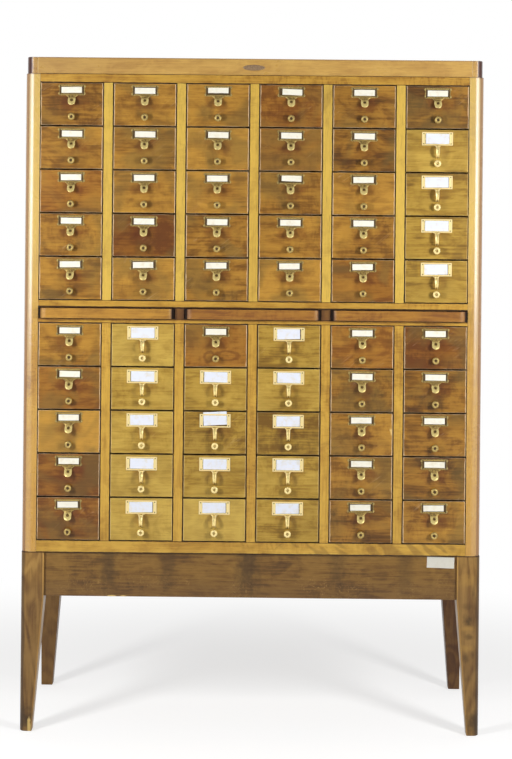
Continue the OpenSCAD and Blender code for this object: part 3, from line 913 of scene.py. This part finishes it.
plating = (248, 226, 164)
brass = brass_finish("pale_brass", plating, (255, 230, 150), (204, 172, 98), (76, 56, 26))
plate_metal = brass_finish("plate_metal", plating, (196, 166, 124), (184, 154, 116), (132, 108, 84))
steel_rod = brass_finish("rod_metal", (230, 226, 214), (206, 196, 168), (176, 160, 118), (90, 78, 54))


# %% A sheet of points becomes a shape
class Shape:
    """Gathers rows of points, each (x, y, z, bright) in millimetres, and joins neighbouring rows with faces."""

    def __init__(self):
        self.points, self.faces = [], []

    def sheet(self, rows, along=False):
        """Each row closes on itself, and along joins the last row to the first."""
        first, wide, tall = len(self.points), len(rows[0]), len(rows)
        for row in rows:
            self.points += row
        for i in range(tall if along else tall - 1):
            for j in range(wide):
                a, c, beside = i * wide, (i + 1) % tall * wide, (j + 1) % wide
                self.faces.append([first + k for k in (a + j, a + beside, c + beside, c + j)])
        return self

    def lid(self, row):
        """One face over a row of points, such as the end of a bar."""
        first = len(self.points)
        self.points += row
        self.faces.append(list(range(first, first + len(row))))
        return self

    def mesh(self, name, finish=None, sharp=40):
        bm = bmesh.new()
        bright = bm.verts.layers.float.new("bright")
        corners = []
        for x, y, z, shine in self.points:
            corner = bm.verts.new((x * mm, y * mm, z * mm))
            corner[bright] = shine
            corners.append(corner)
        for face in self.faces:
            bm.faces.new([corners[k] for k in face])
        bmesh.ops.remove_doubles(bm, verts=bm.verts, dist=1e-6)
        bmesh.ops.dissolve_degenerate(bm, dist=1e-7, edges=bm.edges)
        bmesh.ops.recalc_face_normals(bm, faces=bm.faces)
        made = bpy.data.meshes.new(name)
        bm.to_mesh(made)
        bm.free()
        made.shade_smooth()
        made.set_sharp_from_angle(angle=math.radians(sharp))
        if finish:
            made.materials.append(finish)
        return made


print("a tube of 3 rings of 4 points has", len(Shape().sheet([[(0, 0, 0, 0)] * 4] * 3).faces), "faces")


# %% Rows for turned shapes and frames
def all_round(sides):
    return [2 * math.pi * k / sides for k in range(sides)]


def turned(profile, x, z, sides=16):
    """Rows for a shape turned on a lathe about an axis that runs to the back: profile is (radius, y, bright)."""
    return [
        [(x + r * math.cos(t), y, z + r * math.sin(t), shine) for t in all_round(sides)] for r, y, shine in profile
    ]


def round_the_opening(wide, tall, z_middle, bar, rails, profile, corner=1.2, dull_sides=0.0):
    """Rows for a frame: rails are its lower and upper bar's heights, profile is (share of the way out, y, bright)."""

    def reach(side, size, way, thick, out):
        return side * (size / 2 - corner) + way * corner + side * thick * out * min(1.0, abs(way) * 1.5 + 0.35)

    rows, steps = [], 2
    for side_x, side_z, quarter in ((1, 1, 0), (-1, 1, 1), (-1, -1, 2), (1, -1, 3)):
        for k in range(steps + 1):
            t = math.pi / 2 * (quarter + k / steps)
            row = []
            for out, y, shine in profile:
                x = reach(side_x, wide, math.cos(t), bar, out)
                z = reach(side_z, tall, math.sin(t), rails[side_z > 0], out)
                row.append((x, y, z_middle + z, shine - dull_sides * abs(math.cos(t)) * (out < 0.9)))
            rows.append(row)
    return rows


def backed(shape, half, low, high, shine):
    """Adds the plate behind a frame's card."""
    back, face = (
        [(x, y, z, shine) for x, z in ((-half, low), (half, low), (half, high), (-half, high))] for y in (-0.12, -0.5)
    )
    return shape.sheet([back, face]).lid(back).lid(face)


print(len(turned([(1.0, 0.0, 0.0)], 0, 0)[0]), "points go round a turned shape")


# %% [markdown]
# ## The older fitting
# A cast label frame with a raised rim and four pins, and below it a pull like a small bell: a flared root, a neck
# and a round end with a dimple, to hook a finger behind. The pull is a strip of cross-sections. The dimple is a
# hollow round a point of the strip, so it needs several points across.

# %% Cast frame and bell pull
bell_top, bell_long, bell_out, dimple_at, dimple_wide = 68.9, 23.4, 16.5, 0.48, 3.9


def bell_half(s):
    """Half the pull's width at share s of its length: flared at the root, round at the tip."""
    flare = 6.0 * max(0.0, 1 - 3.6 * s) ** 1.6
    waist = 0.9 * math.exp(-(((s - 0.24) / 0.09) ** 2))
    tip = max(0.0, (s - 0.60) / 0.40)
    return (8.7 + flare - waist) * math.sqrt(max(0.0, 1 - tip**2))


def bell_line(s):
    """Where the middle of the strip runs: how far out, and how high."""
    return -1.9 - (bell_out - 3.7) * s * s * (3 - 2 * s), bell_top - bell_long * s


def cast_frame():
    shape = Shape()
    rim = (
        (0, -0.3, 0.0), (0, -1.3, 0.1), (0.14, -1.85, 0.75), (0.4, -1.85, 0.7), (0.55, -1.3, 0.4),
        (0.78, -1.3, 0.45), (0.9, -1.8, 0.85), (1, -1.5, 0.8), (1, -0.1, 0.2),
    )
    shape.sheet(round_the_opening(50, 16.4, 80.6, 4, (3.4, 4.2), rim, dull_sides=0.55), along=True)
    ear = ((0, -1.2, 0.5), (2.1, -1.2, 0.5), (3.0, -1.0, 0.7), (3.3, -0.1, 0.1))
    pin = ((0, -1.95, 1.1), (0.9, -1.8, 1.0), (1.3, -1.3, 0.1))
    for x in (-28.6, 28.6):
        for z in (72.6, 89.4):
            shape.sheet(turned(ear, x, z, 10)).sheet(turned(pin, x, z, 8))
    # The plate behind the older card is dark, as painted shade in the window beside the card.
    return backed(shape, 25.6, 71.6, 90.4, 0.0)


def bell_pull(shape):
    rows, steps = [], 20
    for i in range(steps + 1):
        s = min(0.999, i / steps)
        half, (y, z) = bell_half(s), bell_line(s)
        ahead, behind = bell_line(min(1, s + 0.01)), bell_line(s - 0.01)
        slope = math.atan2(ahead[1] - behind[1], ahead[0] - behind[0])
        out_y, out_z = -abs(math.sin(slope)), math.cos(slope)
        tip_lift = 0.6 if s > 0.8 else 0.2
        row = []
        for share in (-1, -0.93, -0.72, -0.5, -0.28, 0, 0.28, 0.5, 0.72, 0.93, 1):
            from_dimple = math.hypot(half * share, (s - dimple_at) * bell_long) / dimple_wide
            crown = 1.6 * math.sqrt(max(0.0, 1 - share**2 * 0.97))
            thick = crown - 1.9 * max(0.0, 1 - from_dimple**2)
            # The root is darker as painted shade, and so is the very end of the tip.
            lit = 0.95 if s > 0.34 else 0.5 + 0.1 * (abs(share) > 0.8) + 0.3 * max(0.0, (s - 0.2) / 0.14)
            shine = min(lit, max(0.16, (from_dimple - 0.55) * 1.6)) - 0.35 * max(0.0, (s - 0.93) / 0.07)
            row.append((half * share, y + out_y * thick, z + out_z * thick * tip_lift, max(0.0, shine)))
        for share in (0.6, 0, -0.6):
            row.append((half * share, y - out_y * (1.6 - abs(share) * 0.8), z - out_z * 0.2, 0.3))
        rows.append(row)
    return shape.sheet(rows).lid(rows[0]).lid(rows[-1])


print("the bell is", round(2 * bell_half(0.5), 1), "mm wide half way down")

# %% [markdown]
# ## The newer fitting
# A larger pressed frame, tacked at its corners, with a bowed strap below it. The strap is flared where it leaves
# the frame. Its line is half an ellipse, drawn a little square so that its face stays turned to the front.


# %% Pressed frame and strap pull
def pressed_frame():
    shape = Shape()
    rim = (
        (0, -0.3, 0.6), (0, -1.5, 1.3), (0.14, -1.7, 1.8), (0.3, -1.35, 1.6), (0.72, -1.35, 1.7), (0.88, -1.7, 2.0),
        (1, -1.4, 1.7), (1, -0.1, 0.5),
    )
    shape.sheet(round_the_opening(55, 24.2, 76.5, 8, (3.4, 3.4), rim, corner=0.6), along=True)
    tack = ((0, -1.75, 0.7), (0.9, -1.7, 0.2), (1.5, -1.3, 0.0))
    for x in (-31.2, 31.2):
        for z in (64.9, 88.1):
            shape.sheet(turned(tack, x, z, 8))
    return backed(shape, 28, 64, 89, 0.3)


def strap_pull(shape):
    section = (
        (-1, 0.75, 1.4), (-0.85, 1.0, 1.9), (-0.5, 0.9, 1.4), (-0.25, 0.72, 0.9), (0.25, 0.72, 0.9),
        (0.5, 0.9, 1.4), (0.85, 1.0, 1.9), (1, 0.75, 1.4), (0.9, 0.0, 0.6), (-0.9, 0.0, 0.6),
    )
    rows, steps = [], 18
    for i in range(steps + 1):
        t = math.pi * (0.02 + 0.96 * i / steps)
        width = 3.0 + 3.4 * max(0.0, 1 - 4.5 * i / steps) ** 2 + 2.2 * (1 - i / steps)
        bow, lift = math.sin(t) ** 0.8, math.copysign(abs(math.cos(t)) ** 0.9, math.cos(t))
        rows.append([
            (width * share, -0.1 - (14.6 + 2.3 * depth) * bow, 46.2 + (12.4 + 2.3 * depth) * lift, shine)
            for share, depth, shine in section
        ])
    return shape.sheet(rows).lid(rows[0]).lid(rows[-1])


print("faces in a pressed frame:", len(pressed_frame().faces))

# %% [markdown]
# ## Knobs
# The knob at the foot of each front is the head of the rod that holds the cards. It is turned: a flange, a neck and
# a rounded face with a small hollow. The older knobs are dark in the hollow, and the newer ones are pale all over.


# %% Turned knobs
def knob(hollow, face):
    """A turned knob's profile from the front inwards; hollow and face say how bright its middle and its face are."""
    return (
        (0, -11.6, hollow), (1.9, -11.8, hollow), (2.9, -12.6, hollow * 0.7), (3.5, -13.4, face * 0.9),
        (4.7, -13.9, face), (6.0, -13.8, face), (7.3, -13.2, face * 0.9), (8.2, -12.2, face * 0.8),
        (8.5, -11.0, face * 0.6), (7.8, -9.2, 0.3), (5.4, -7.0, 0.25), (4.3, -5.6, 0.25),
        (4.2, -1.6, 0.2), (6.0, -0.9, 0.4), (6.2, -0.1, 0.2), (0, -0.1, 0.1),
    )


older_knob, newer_knob = knob(0.0, 0.68), knob(0.6, 1.6)
patterns = {
    "older_fitting": bell_pull(cast_frame()).sheet(turned(older_knob, 0, rod_z)),
    "newer_fitting": strap_pull(pressed_frame()).sheet(turned(newer_knob, 0, rod_z)),
    "frame_and_pull": bell_pull(cast_frame()),
}
print("faces in the fittings:", {name: len(shape.faces) for name, shape in patterns.items()})


# %% Slips of card
def slip(wide, tall, middle, bow, thick=0.35):
    """A slip of card, bowed to the front, whose back is at the middle's y."""
    rows, steps = [], 6
    for i in range(steps + 1):
        x, y = middle[0] - wide / 2 + wide * i / steps, middle[1] - bow * math.sin(math.pi * i / steps)
        low, high = middle[2] - tall / 2, middle[2] + tall / 2
        rows.append([(x, y - thick, low, 1.0), (x, y - thick, high, 1.0), (x, y, high, 1.0), (x, y, low, 1.0)])
    return Shape().sheet(rows).lid(rows[0]).lid(rows[-1])


patterns["older_slip"] = slip(46.8, 13.6, (0, -0.4, 80.4), bow=0.25)
patterns["newer_slip"] = slip(54, 23.4, (0, -0.4, 76.5), bow=0.3)
patterns["tall_slip"] = slip(54, 30.5, (4.2, -0.4, 76.5), bow=0.3)
templates = {name: new_piece("pattern_" + name, shape.mesh(name)) for name, shape in patterns.items()}
print("faces in the patterns:", {name: len(pattern.data.polygons) for name, pattern in templates.items()})

# %% [markdown]
# ## Fitting the hardware
# The same fitting sits on sixty fronts, so it is modelled once and placed by Geometry Nodes. Each drawer is one
# point that says whether it is newer and how its card is turned. The tree puts the right piece on each point, makes
# the copies real and gives them their finish.


# %% The fitting tree
def copies(b, points, piece, **how):
    """Copies of an object on points."""
    shown = b.add("GeometryNodeObjectInfo", {"Object": piece}).outputs["Geometry"]
    return b.add("GeometryNodeInstanceOnPoints", {"Points": points, "Instance": shown} | how).outputs[0]


def made_real(b, instances, finish):
    real = b.add("GeometryNodeRealizeInstances", {0: instances}).outputs[0]
    return b.add("GeometryNodeSetMaterial", {"Geometry": real, "Material": finish}).outputs[0]


sockets = {"Geometry": "Geometry", "Older piece": "Object", "Newer piece": "Object", "Finish": "Material"}
fit_tree, b, given, taken = group_of("fit on drawers", sockets, ("Geometry",), "Geometry")
newer_mark = b.add("GeometryNodeInputNamedAttribute", {"Name": "newer"}, data_type="FLOAT").outputs[0]
turned_by = b.add("GeometryNodeInputNamedAttribute", {"Name": "turned_by"}, data_type="FLOAT_VECTOR").outputs[0]
gathered = b.add("GeometryNodeJoinGeometry")
for piece, test in (("Older piece", "LESS_THAN"), ("Newer piece", "GREATER_THAN")):
    how = {"Selection": b.calc(test, newer_mark, 0.5), "Rotation": turned_by}
    b.tree.links.new(copies(b, given["Geometry"], given[piece], **how), gathered.inputs[0])
b.feed(taken[0], made_real(b, gathered.outputs[0], given["Finish"]))
b.say("fit on drawers")


# %% Grow a tree into a plain piece
def grown(name, tree, mesh, body, **values):
    """Runs a tree on a mesh and keeps the result as a plain piece on that body."""
    piece = new_piece(name, mesh)
    modifier = piece.modifiers.new("grow", "NODES")
    modifier.node_group = tree
    for item in tree.interface.items_tree:
        key = item.name.replace(" ", "_").lower()
        if item.in_out == "INPUT" and key in values:
            modifier[item.identifier] = values[key]
    evaluated = piece.evaluated_get(bpy.context.evaluated_depsgraph_get())
    plain_mesh = bpy.data.meshes.new_from_object(evaluated)
    piece.modifiers.clear()
    piece.data = plain_mesh
    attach(piece, body)
    return piece


def fitted(name, places, body, older, newer, finish):
    """Fits one pattern or the other at each place, (row, column, raised, turned by degrees)."""
    mesh = bpy.data.meshes.new(name)
    mesh.from_pydata([(column_x(c), face_y, row_z(r) + up * mm) for r, c, up, _ in places], [], [])
    newer_marks = [float(is_newer(r, c)) for r, c, _, _ in places]
    turns = [v for _, _, _, degrees in places for v in (0.0, math.radians(degrees), 0.0)]
    mesh.attributes.new("newer", "FLOAT", "POINT").data.foreach_set("value", newer_marks)
    mesh.attributes.new("turned_by", "FLOAT_VECTOR", "POINT").data.foreach_set("vector", turns)
    pieces = {"older_piece": templates[older], "newer_piece": templates[newer]}
    return grown(name, fit_tree, mesh, body, **pieces, finish=finish)


print("the first drawer's point is at", [round(v, 4) for v in (column_x(1), face_y, row_z(1))])


# %% The card stock
def card_finish(name, older, newer, stained):
    finish, b, shader = new_finish(name)
    place = b.place()
    stain = b.ease(b.noise(place, 90.0, detail=4.0), 0.45, 0.8, 0.0, 0.5)
    b.feed(shader["Base Color"], b.blend(stain, b.blend(b.mark("newer"), older, newer), stained))
    b.feed(shader["Roughness"], b.ease(stain, 0.0, 1.0, 0.75, 0.9))
    b.emboss(shader, b.noise(place, 2500.0, detail=2.0), 0.1, 0.0005)
    b.say(name)
    return finish


card_stock = card_finish("card_stock", (242, 238, 222), (228, 232, 244), (220, 206, 170))

# %% [markdown]
# ## Sixty drawers
# Each drawer, or row of drawers that slides as one, gets its fronts, boxes, brass and cards as pieces of its own,
# so that all of them ride with it. A few cards sit askew, and one tall card stands out above its frame.

# %% Make the drawers
crooked = {(1, 3): (3.0, 0.0), (3, 4): (2.0, 2.0), (1, 1): (0.6, -0.6), (6, 4): (0.5, -1.5), (1, 4): (0.0, 2.0)}
tall_card = (8, 3)


def card_lies(row, column):
    """How far a card is raised, and how many degrees it is turned."""
    return crooked.get((row, column), (0.0, ((row * 7 + column * 5) % 5 - 2) * 0.35))


def make_drawers(label, row, members, body):
    dressed("front_" + label, body, [older_wood, newer_wood], body, front_only(row), 0.0)
    dressed("box_" + label, body, [box_wood, steel_rod], body, box_only, 0.5 * mm)
    older = "frame_and_pull" if label == "r5c1" else "older_fitting"
    seats = [(row, c, 0.0, 0.0) for c in members]
    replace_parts(fitted("brass_" + label, seats, body, older, "newer_fitting", brass), body)
    seats = [(row, c, *card_lies(row, c)) for c in members if (row, c) != tall_card]
    fitted("card_" + label, seats, body, "older_slip", "newer_slip", card_stock)


for row in range(1, 8):
    for column in columns:
        make_drawers(f"r{row}c{column}", row, [column], f"drawer_r{row}c{column}")
for row in (8, 9, 10):
    make_drawers(f"row_{row}", row, columns, f"drawers_row_{row}")
fitted("tall_card", [(*tall_card, 5.0, -3.2)], "drawers_row_8", "older_slip", "tall_slip", card_stock)
print("made 42 drawers that slide alone and 3 rows that slide as one")

# %% [markdown]
# ## One drawer's rod and follower
# Pulling the knob draws the rod out, which frees the cards and the block behind them. In one drawer these two move
# by themselves. The rod is turned in one piece with its knob, and its far end is pointed to find its hole.

# %% Rod and follower
low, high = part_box("rod_r5c1")
rod_end = (high[1] - face_y) / mm
turned_rod = older_knob[:-2] + (
    (3.95, -0.6, 0.5), (3.95, 0.0, 0.8), (3.95, rod_end - 5, 0.8), (3.2, rod_end - 1.5, 0.6),
    (1.6, rod_end, 0.5), (0, rod_end, 0.4),
)
templates["rod"] = new_piece("pattern_rod", Shape().sheet(turned(turned_rod, 0, rod_z)).mesh("rod"))
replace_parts(fitted("turned_rod_r5c1", [(5, 1, 0.0, 0.0)], "rod_r5c1", "rod", "rod", brass), "rod_r5c1")
follower = dressed("follower_block", "follower_r5c1", [box_wood], "follower_r5c1", plain(tone=-0.3), 0.8 * mm)
print("the rod reaches", round(rod_end), "mm behind the front's face")
for pattern in templates.values():
    bpy.data.objects.remove(pattern)

# %% [markdown]
# ## Plate and sticker
# A small oval plate is pinned to the middle of the top, and a paper sticker is stuck on the stand. Both are blank
# here. The plate is a stack of ellipses: rim, groove and a slightly domed middle.

# %% Bare plate and blank sticker
cap_face, rail_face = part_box("top_cap")[0][1] / mm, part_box("stand_rails")[0][1] / mm
plate, plate_x, plate_z, half_wide, half_tall = Shape(), -2.4, 1528.5, 25.7, 6.6
oval = (
    (1.0, 0.0, 0.1), (1.0, -0.6, 0.35), (0.95, -0.9, 0.6), (0.88, -0.85, 0.5), (0.84, -0.5, 0.15),
    (0.78, -0.55, 0.42), (0.4, -0.7, 0.5), (0.0, -0.75, 0.5),
)
plate.sheet([
    [(plate_x + half_wide * s * math.cos(t), cap_face + y, plate_z + half_tall * s * math.sin(t), shine)
     for t in all_round(40)]
    for s, y, shine in oval
])
pin = ((0, cap_face - 1.3, 0.7), (0.8, cap_face - 1.1, 0.6), (1.2, cap_face - 0.5, 0.1))
for x in (-22.5, 17.7):
    plate.sheet(turned(pin, x, plate_z, 8))
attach(new_piece("oval_plate", plate.mesh("oval_plate", plate_metal)), "cabinet")
paper = card_finish("sticker_paper", (216, 212, 200), (216, 212, 200), (204, 198, 180))
sticker = slip(62.7, 25.2, (0, 0, 0), bow=0.15, thick=0.2).mesh("sticker", paper)
sticker_place = Matrix.Translation((437.0 * mm, rail_face * mm, 395.6 * mm))
sticker.transform(sticker_place @ Matrix.Rotation(math.radians(1.6), 4, "Y"))
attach(new_piece("blank_sticker", sticker), "cabinet")
print("faces in the plate and the sticker:", len(plate.faces), len(sticker.polygons))

# %% [markdown]
# ## Screws in the back
# The back is screwed on all round. The screws stand on the rim of a grid of points: Geometry Nodes makes the grid,
# drops its inner points, and sets one screw on each that is left, each turned by its own random angle.


# %% The screw tree
def screw_head(radius=4.2, sides=7):
    """A countersunk head with a slot: two half rounds with a sunk floor between them."""
    shape, rim = Shape(), []
    for start in (0, math.pi):
        angles = [math.radians(-80 + 160 * k / (sides - 1)) + start for k in range(sides)]
        half = [(radius * math.cos(t), -0.5, radius * math.sin(t), 0.75) for t in angles]
        first, last = half[0], half[-1]
        shape.lid(half).lid([first, last, (last[0], 0.4, last[2], 0.0), (first[0], 0.4, first[2], 0.0)])
        rim += half
    shape.sheet([rim, [(x * 1.08, 0.0, z * 1.08, 0.3) for x, _, z, _ in rim]])
    corners = [rim[k] for k in (0, sides - 1, sides, 2 * sides - 1)]
    return shape.lid([(x, 0.4, z, 0.0) for x, _, z, _ in corners])


sockets = {"Width": 1.0, "Height": 1.0, "Across": 5, "Up": 7, "Place": (0.0, 0.0, 0.0), "Screw": "Object"}
screw_tree, b, given, taken = group_of(
    "screws round a panel", sockets | {"Finish": "Material"}, ("Geometry",), "Geometry"
)
sizes = {"Size X": "Width", "Size Y": "Height", "Vertices X": "Across", "Vertices Y": "Up"}
grid = b.add("GeometryNodeMeshGrid", {socket: given[name] for socket, name in sizes.items()}).outputs[0]
here = b.apart(b.vector("ABSOLUTE", b.add("GeometryNodeInputPosition").outputs[0]))
inner = [b.calc("LESS_THAN", here[k], b.times(given[name], 0.49)) for k, name in ((0, "Width"), (1, "Height"))]
dropped = {"Geometry": grid, "Selection": b.times(*inner)}
rim = b.add("GeometryNodeDeleteGeometry", dropped, domain="POINT").outputs[0]
spin = b.add("FunctionNodeRandomValue", {2: 0.0, 3: 3.14, "Seed": 7}, data_type="FLOAT").outputs[1]
turn_it = b.add("ShaderNodeCombineXYZ", {0: 0.0, 1: spin, 2: math.pi}).outputs[0]
stood_up = {"Geometry": rim, "Translation": given["Place"], "Rotation": (math.radians(90), 0.0, 0.0)}
upright = b.add("GeometryNodeTransform", stood_up).outputs[0]
b.feed(taken[0], made_real(b, copies(b, upright, given["Screw"], Rotation=turn_it), given["Finish"]))
b.say("screws round a panel")

# %% Screw the back on
low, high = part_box("back_panel")
from_edges, across, up = 30 * mm, 6, 7
screw = new_piece("pattern_screw", screw_head().mesh("screw"))
middle = ((low[0] + high[0]) / 2, high[1] + 0.1 * mm, (low[2] + high[2]) / 2)
grown(
    "back_screws", screw_tree, bpy.data.meshes.new("back_screws"), "cabinet", width=high[0] - low[0] - from_edges,
    height=high[2] - low[2] - from_edges, across=across, up=up, place=middle, screw=screw, finish=steel_rod,
)
bpy.data.objects.remove(screw)
print("the back is held by", 2 * (across + up) - 4, "screws")

# %% [markdown]
# ## Light and background
# Two small lamps stand left and right in front of the cabinet, as in a studio. Each pull then throws one shadow
# away from the nearer lamp and a fainter one the other way. The lamps light the colours only, because their mirror
# image would burn out the varnish. What shines in the varnish comes from a large, weak panel on each side and a
# faint glint in each lamp's place. The world fills the rest, and only looks white to the camera and in reflections.


# %% Lamps
def lamp(name, place, aim, size, power, in_varnish_only=False):
    data = bpy.data.lights.new(name, "AREA")
    data.shape, data.size, data.size_y, data.energy = "RECTANGLE", size[0], size[1], power
    made = bpy.data.objects.new(name, data)
    facing = (Vector(aim) - Vector(place)).to_track_quat("-Z", "Y").to_matrix().to_4x4()
    made.matrix_world = Matrix.Translation(place) @ facing
    made.visible_diffuse = not in_varnish_only
    made.visible_glossy = in_varnish_only
    scene.collection.objects.link(made)


for side, way in (("left", -1), ("right", 1)):
    small = (way * 1.32, -1.4, 1.25), (way * 0.1, -0.2, 0.8), (0.3, 0.6)
    large = (way * 1.66, -1.72, 1.5), (way * 0.5, -0.2, 1.15), (1.2, 1.3)
    lamp("lamp_" + side, *small, 23.0)
    lamp("panel_" + side, *large, 12.0, True)
    lamp("glint_" + side, *small, 7.0, True)

# %% World
WHITE = (1, 1, 1, 1)
world = bpy.data.worlds.new("studio")
scene.world = world
world.use_nodes = True
b = Bench(world.node_tree)
world.node_tree.nodes.clear()
path = b.add("ShaderNodeLightPath").outputs
seen = b.calc("MAXIMUM", b.calc("MAXIMUM", path["Is Camera Ray"], path["Is Glossy Ray"]), path["Is Transmission Ray"])
toward = b.apart(b.add("ShaderNodeTexCoord").outputs["Generated"])[1]
fill = b.add("ShaderNodeBackground", {"Color": WHITE, "Strength": b.ease(toward, -0.3, 0.6, 0.12, 0.5)})
seen_strength = b.calc("MAXIMUM", path["Is Camera Ray"], b.ease(toward, -0.5, 0.6, 0.4, 1.0))
white = b.add("ShaderNodeBackground", {"Color": WHITE, "Strength": seen_strength})
both = b.add("ShaderNodeMixShader", {0: seen, 1: fill.outputs[0], 2: white.outputs[0]})
b.feed(b.add("ShaderNodeOutputWorld").inputs[0], both.outputs[0])
b.say("studio")

# %% Floor
floor_mesh = bpy.data.meshes.new("floor")
floor_mesh.from_pydata([(-9, -6, 0), (9, -6, 0), (9, 12, 0), (-9, 12, 0)], [], [(0, 1, 2, 3)])
floor = new_piece("floor", floor_mesh)
floor_finish = bpy.data.materials.new("pale_floor")
floor_finish.use_nodes = True
b = Bench(floor_finish.node_tree)
floor_finish.node_tree.nodes.clear()
far_off = b.ease(b.vector("LENGTH", b.vector("MULTIPLY", b.place(), (0.8, 1.0, 1.0))), 0.5, 1.6)
paint = b.add("ShaderNodeBsdfDiffuse", {"Color": (0.5, 0.5, 0.5, 1)})
path = b.add("ShaderNodeLightPath").outputs
seen = b.calc("MAXIMUM", path["Is Camera Ray"], path["Is Glossy Ray"])
glow = b.add("ShaderNodeEmission", {"Color": WHITE, "Strength": b.times(seen, 0.62)})
lit = b.add("ShaderNodeAddShader", {0: paint.outputs[0], 1: glow.outputs[0]})
distant = b.add("ShaderNodeEmission", {"Color": WHITE, "Strength": 1.0})
mixed = b.add("ShaderNodeMixShader", {0: b.times(far_off, seen), 1: lit.outputs[0], 2: distant.outputs[0]})
b.feed(b.add("ShaderNodeOutputMaterial").inputs[0], mixed.outputs[0])
b.say("pale_floor")
floor_mesh.materials.append(floor_finish)
scene.view_settings.view_transform = "Standard"
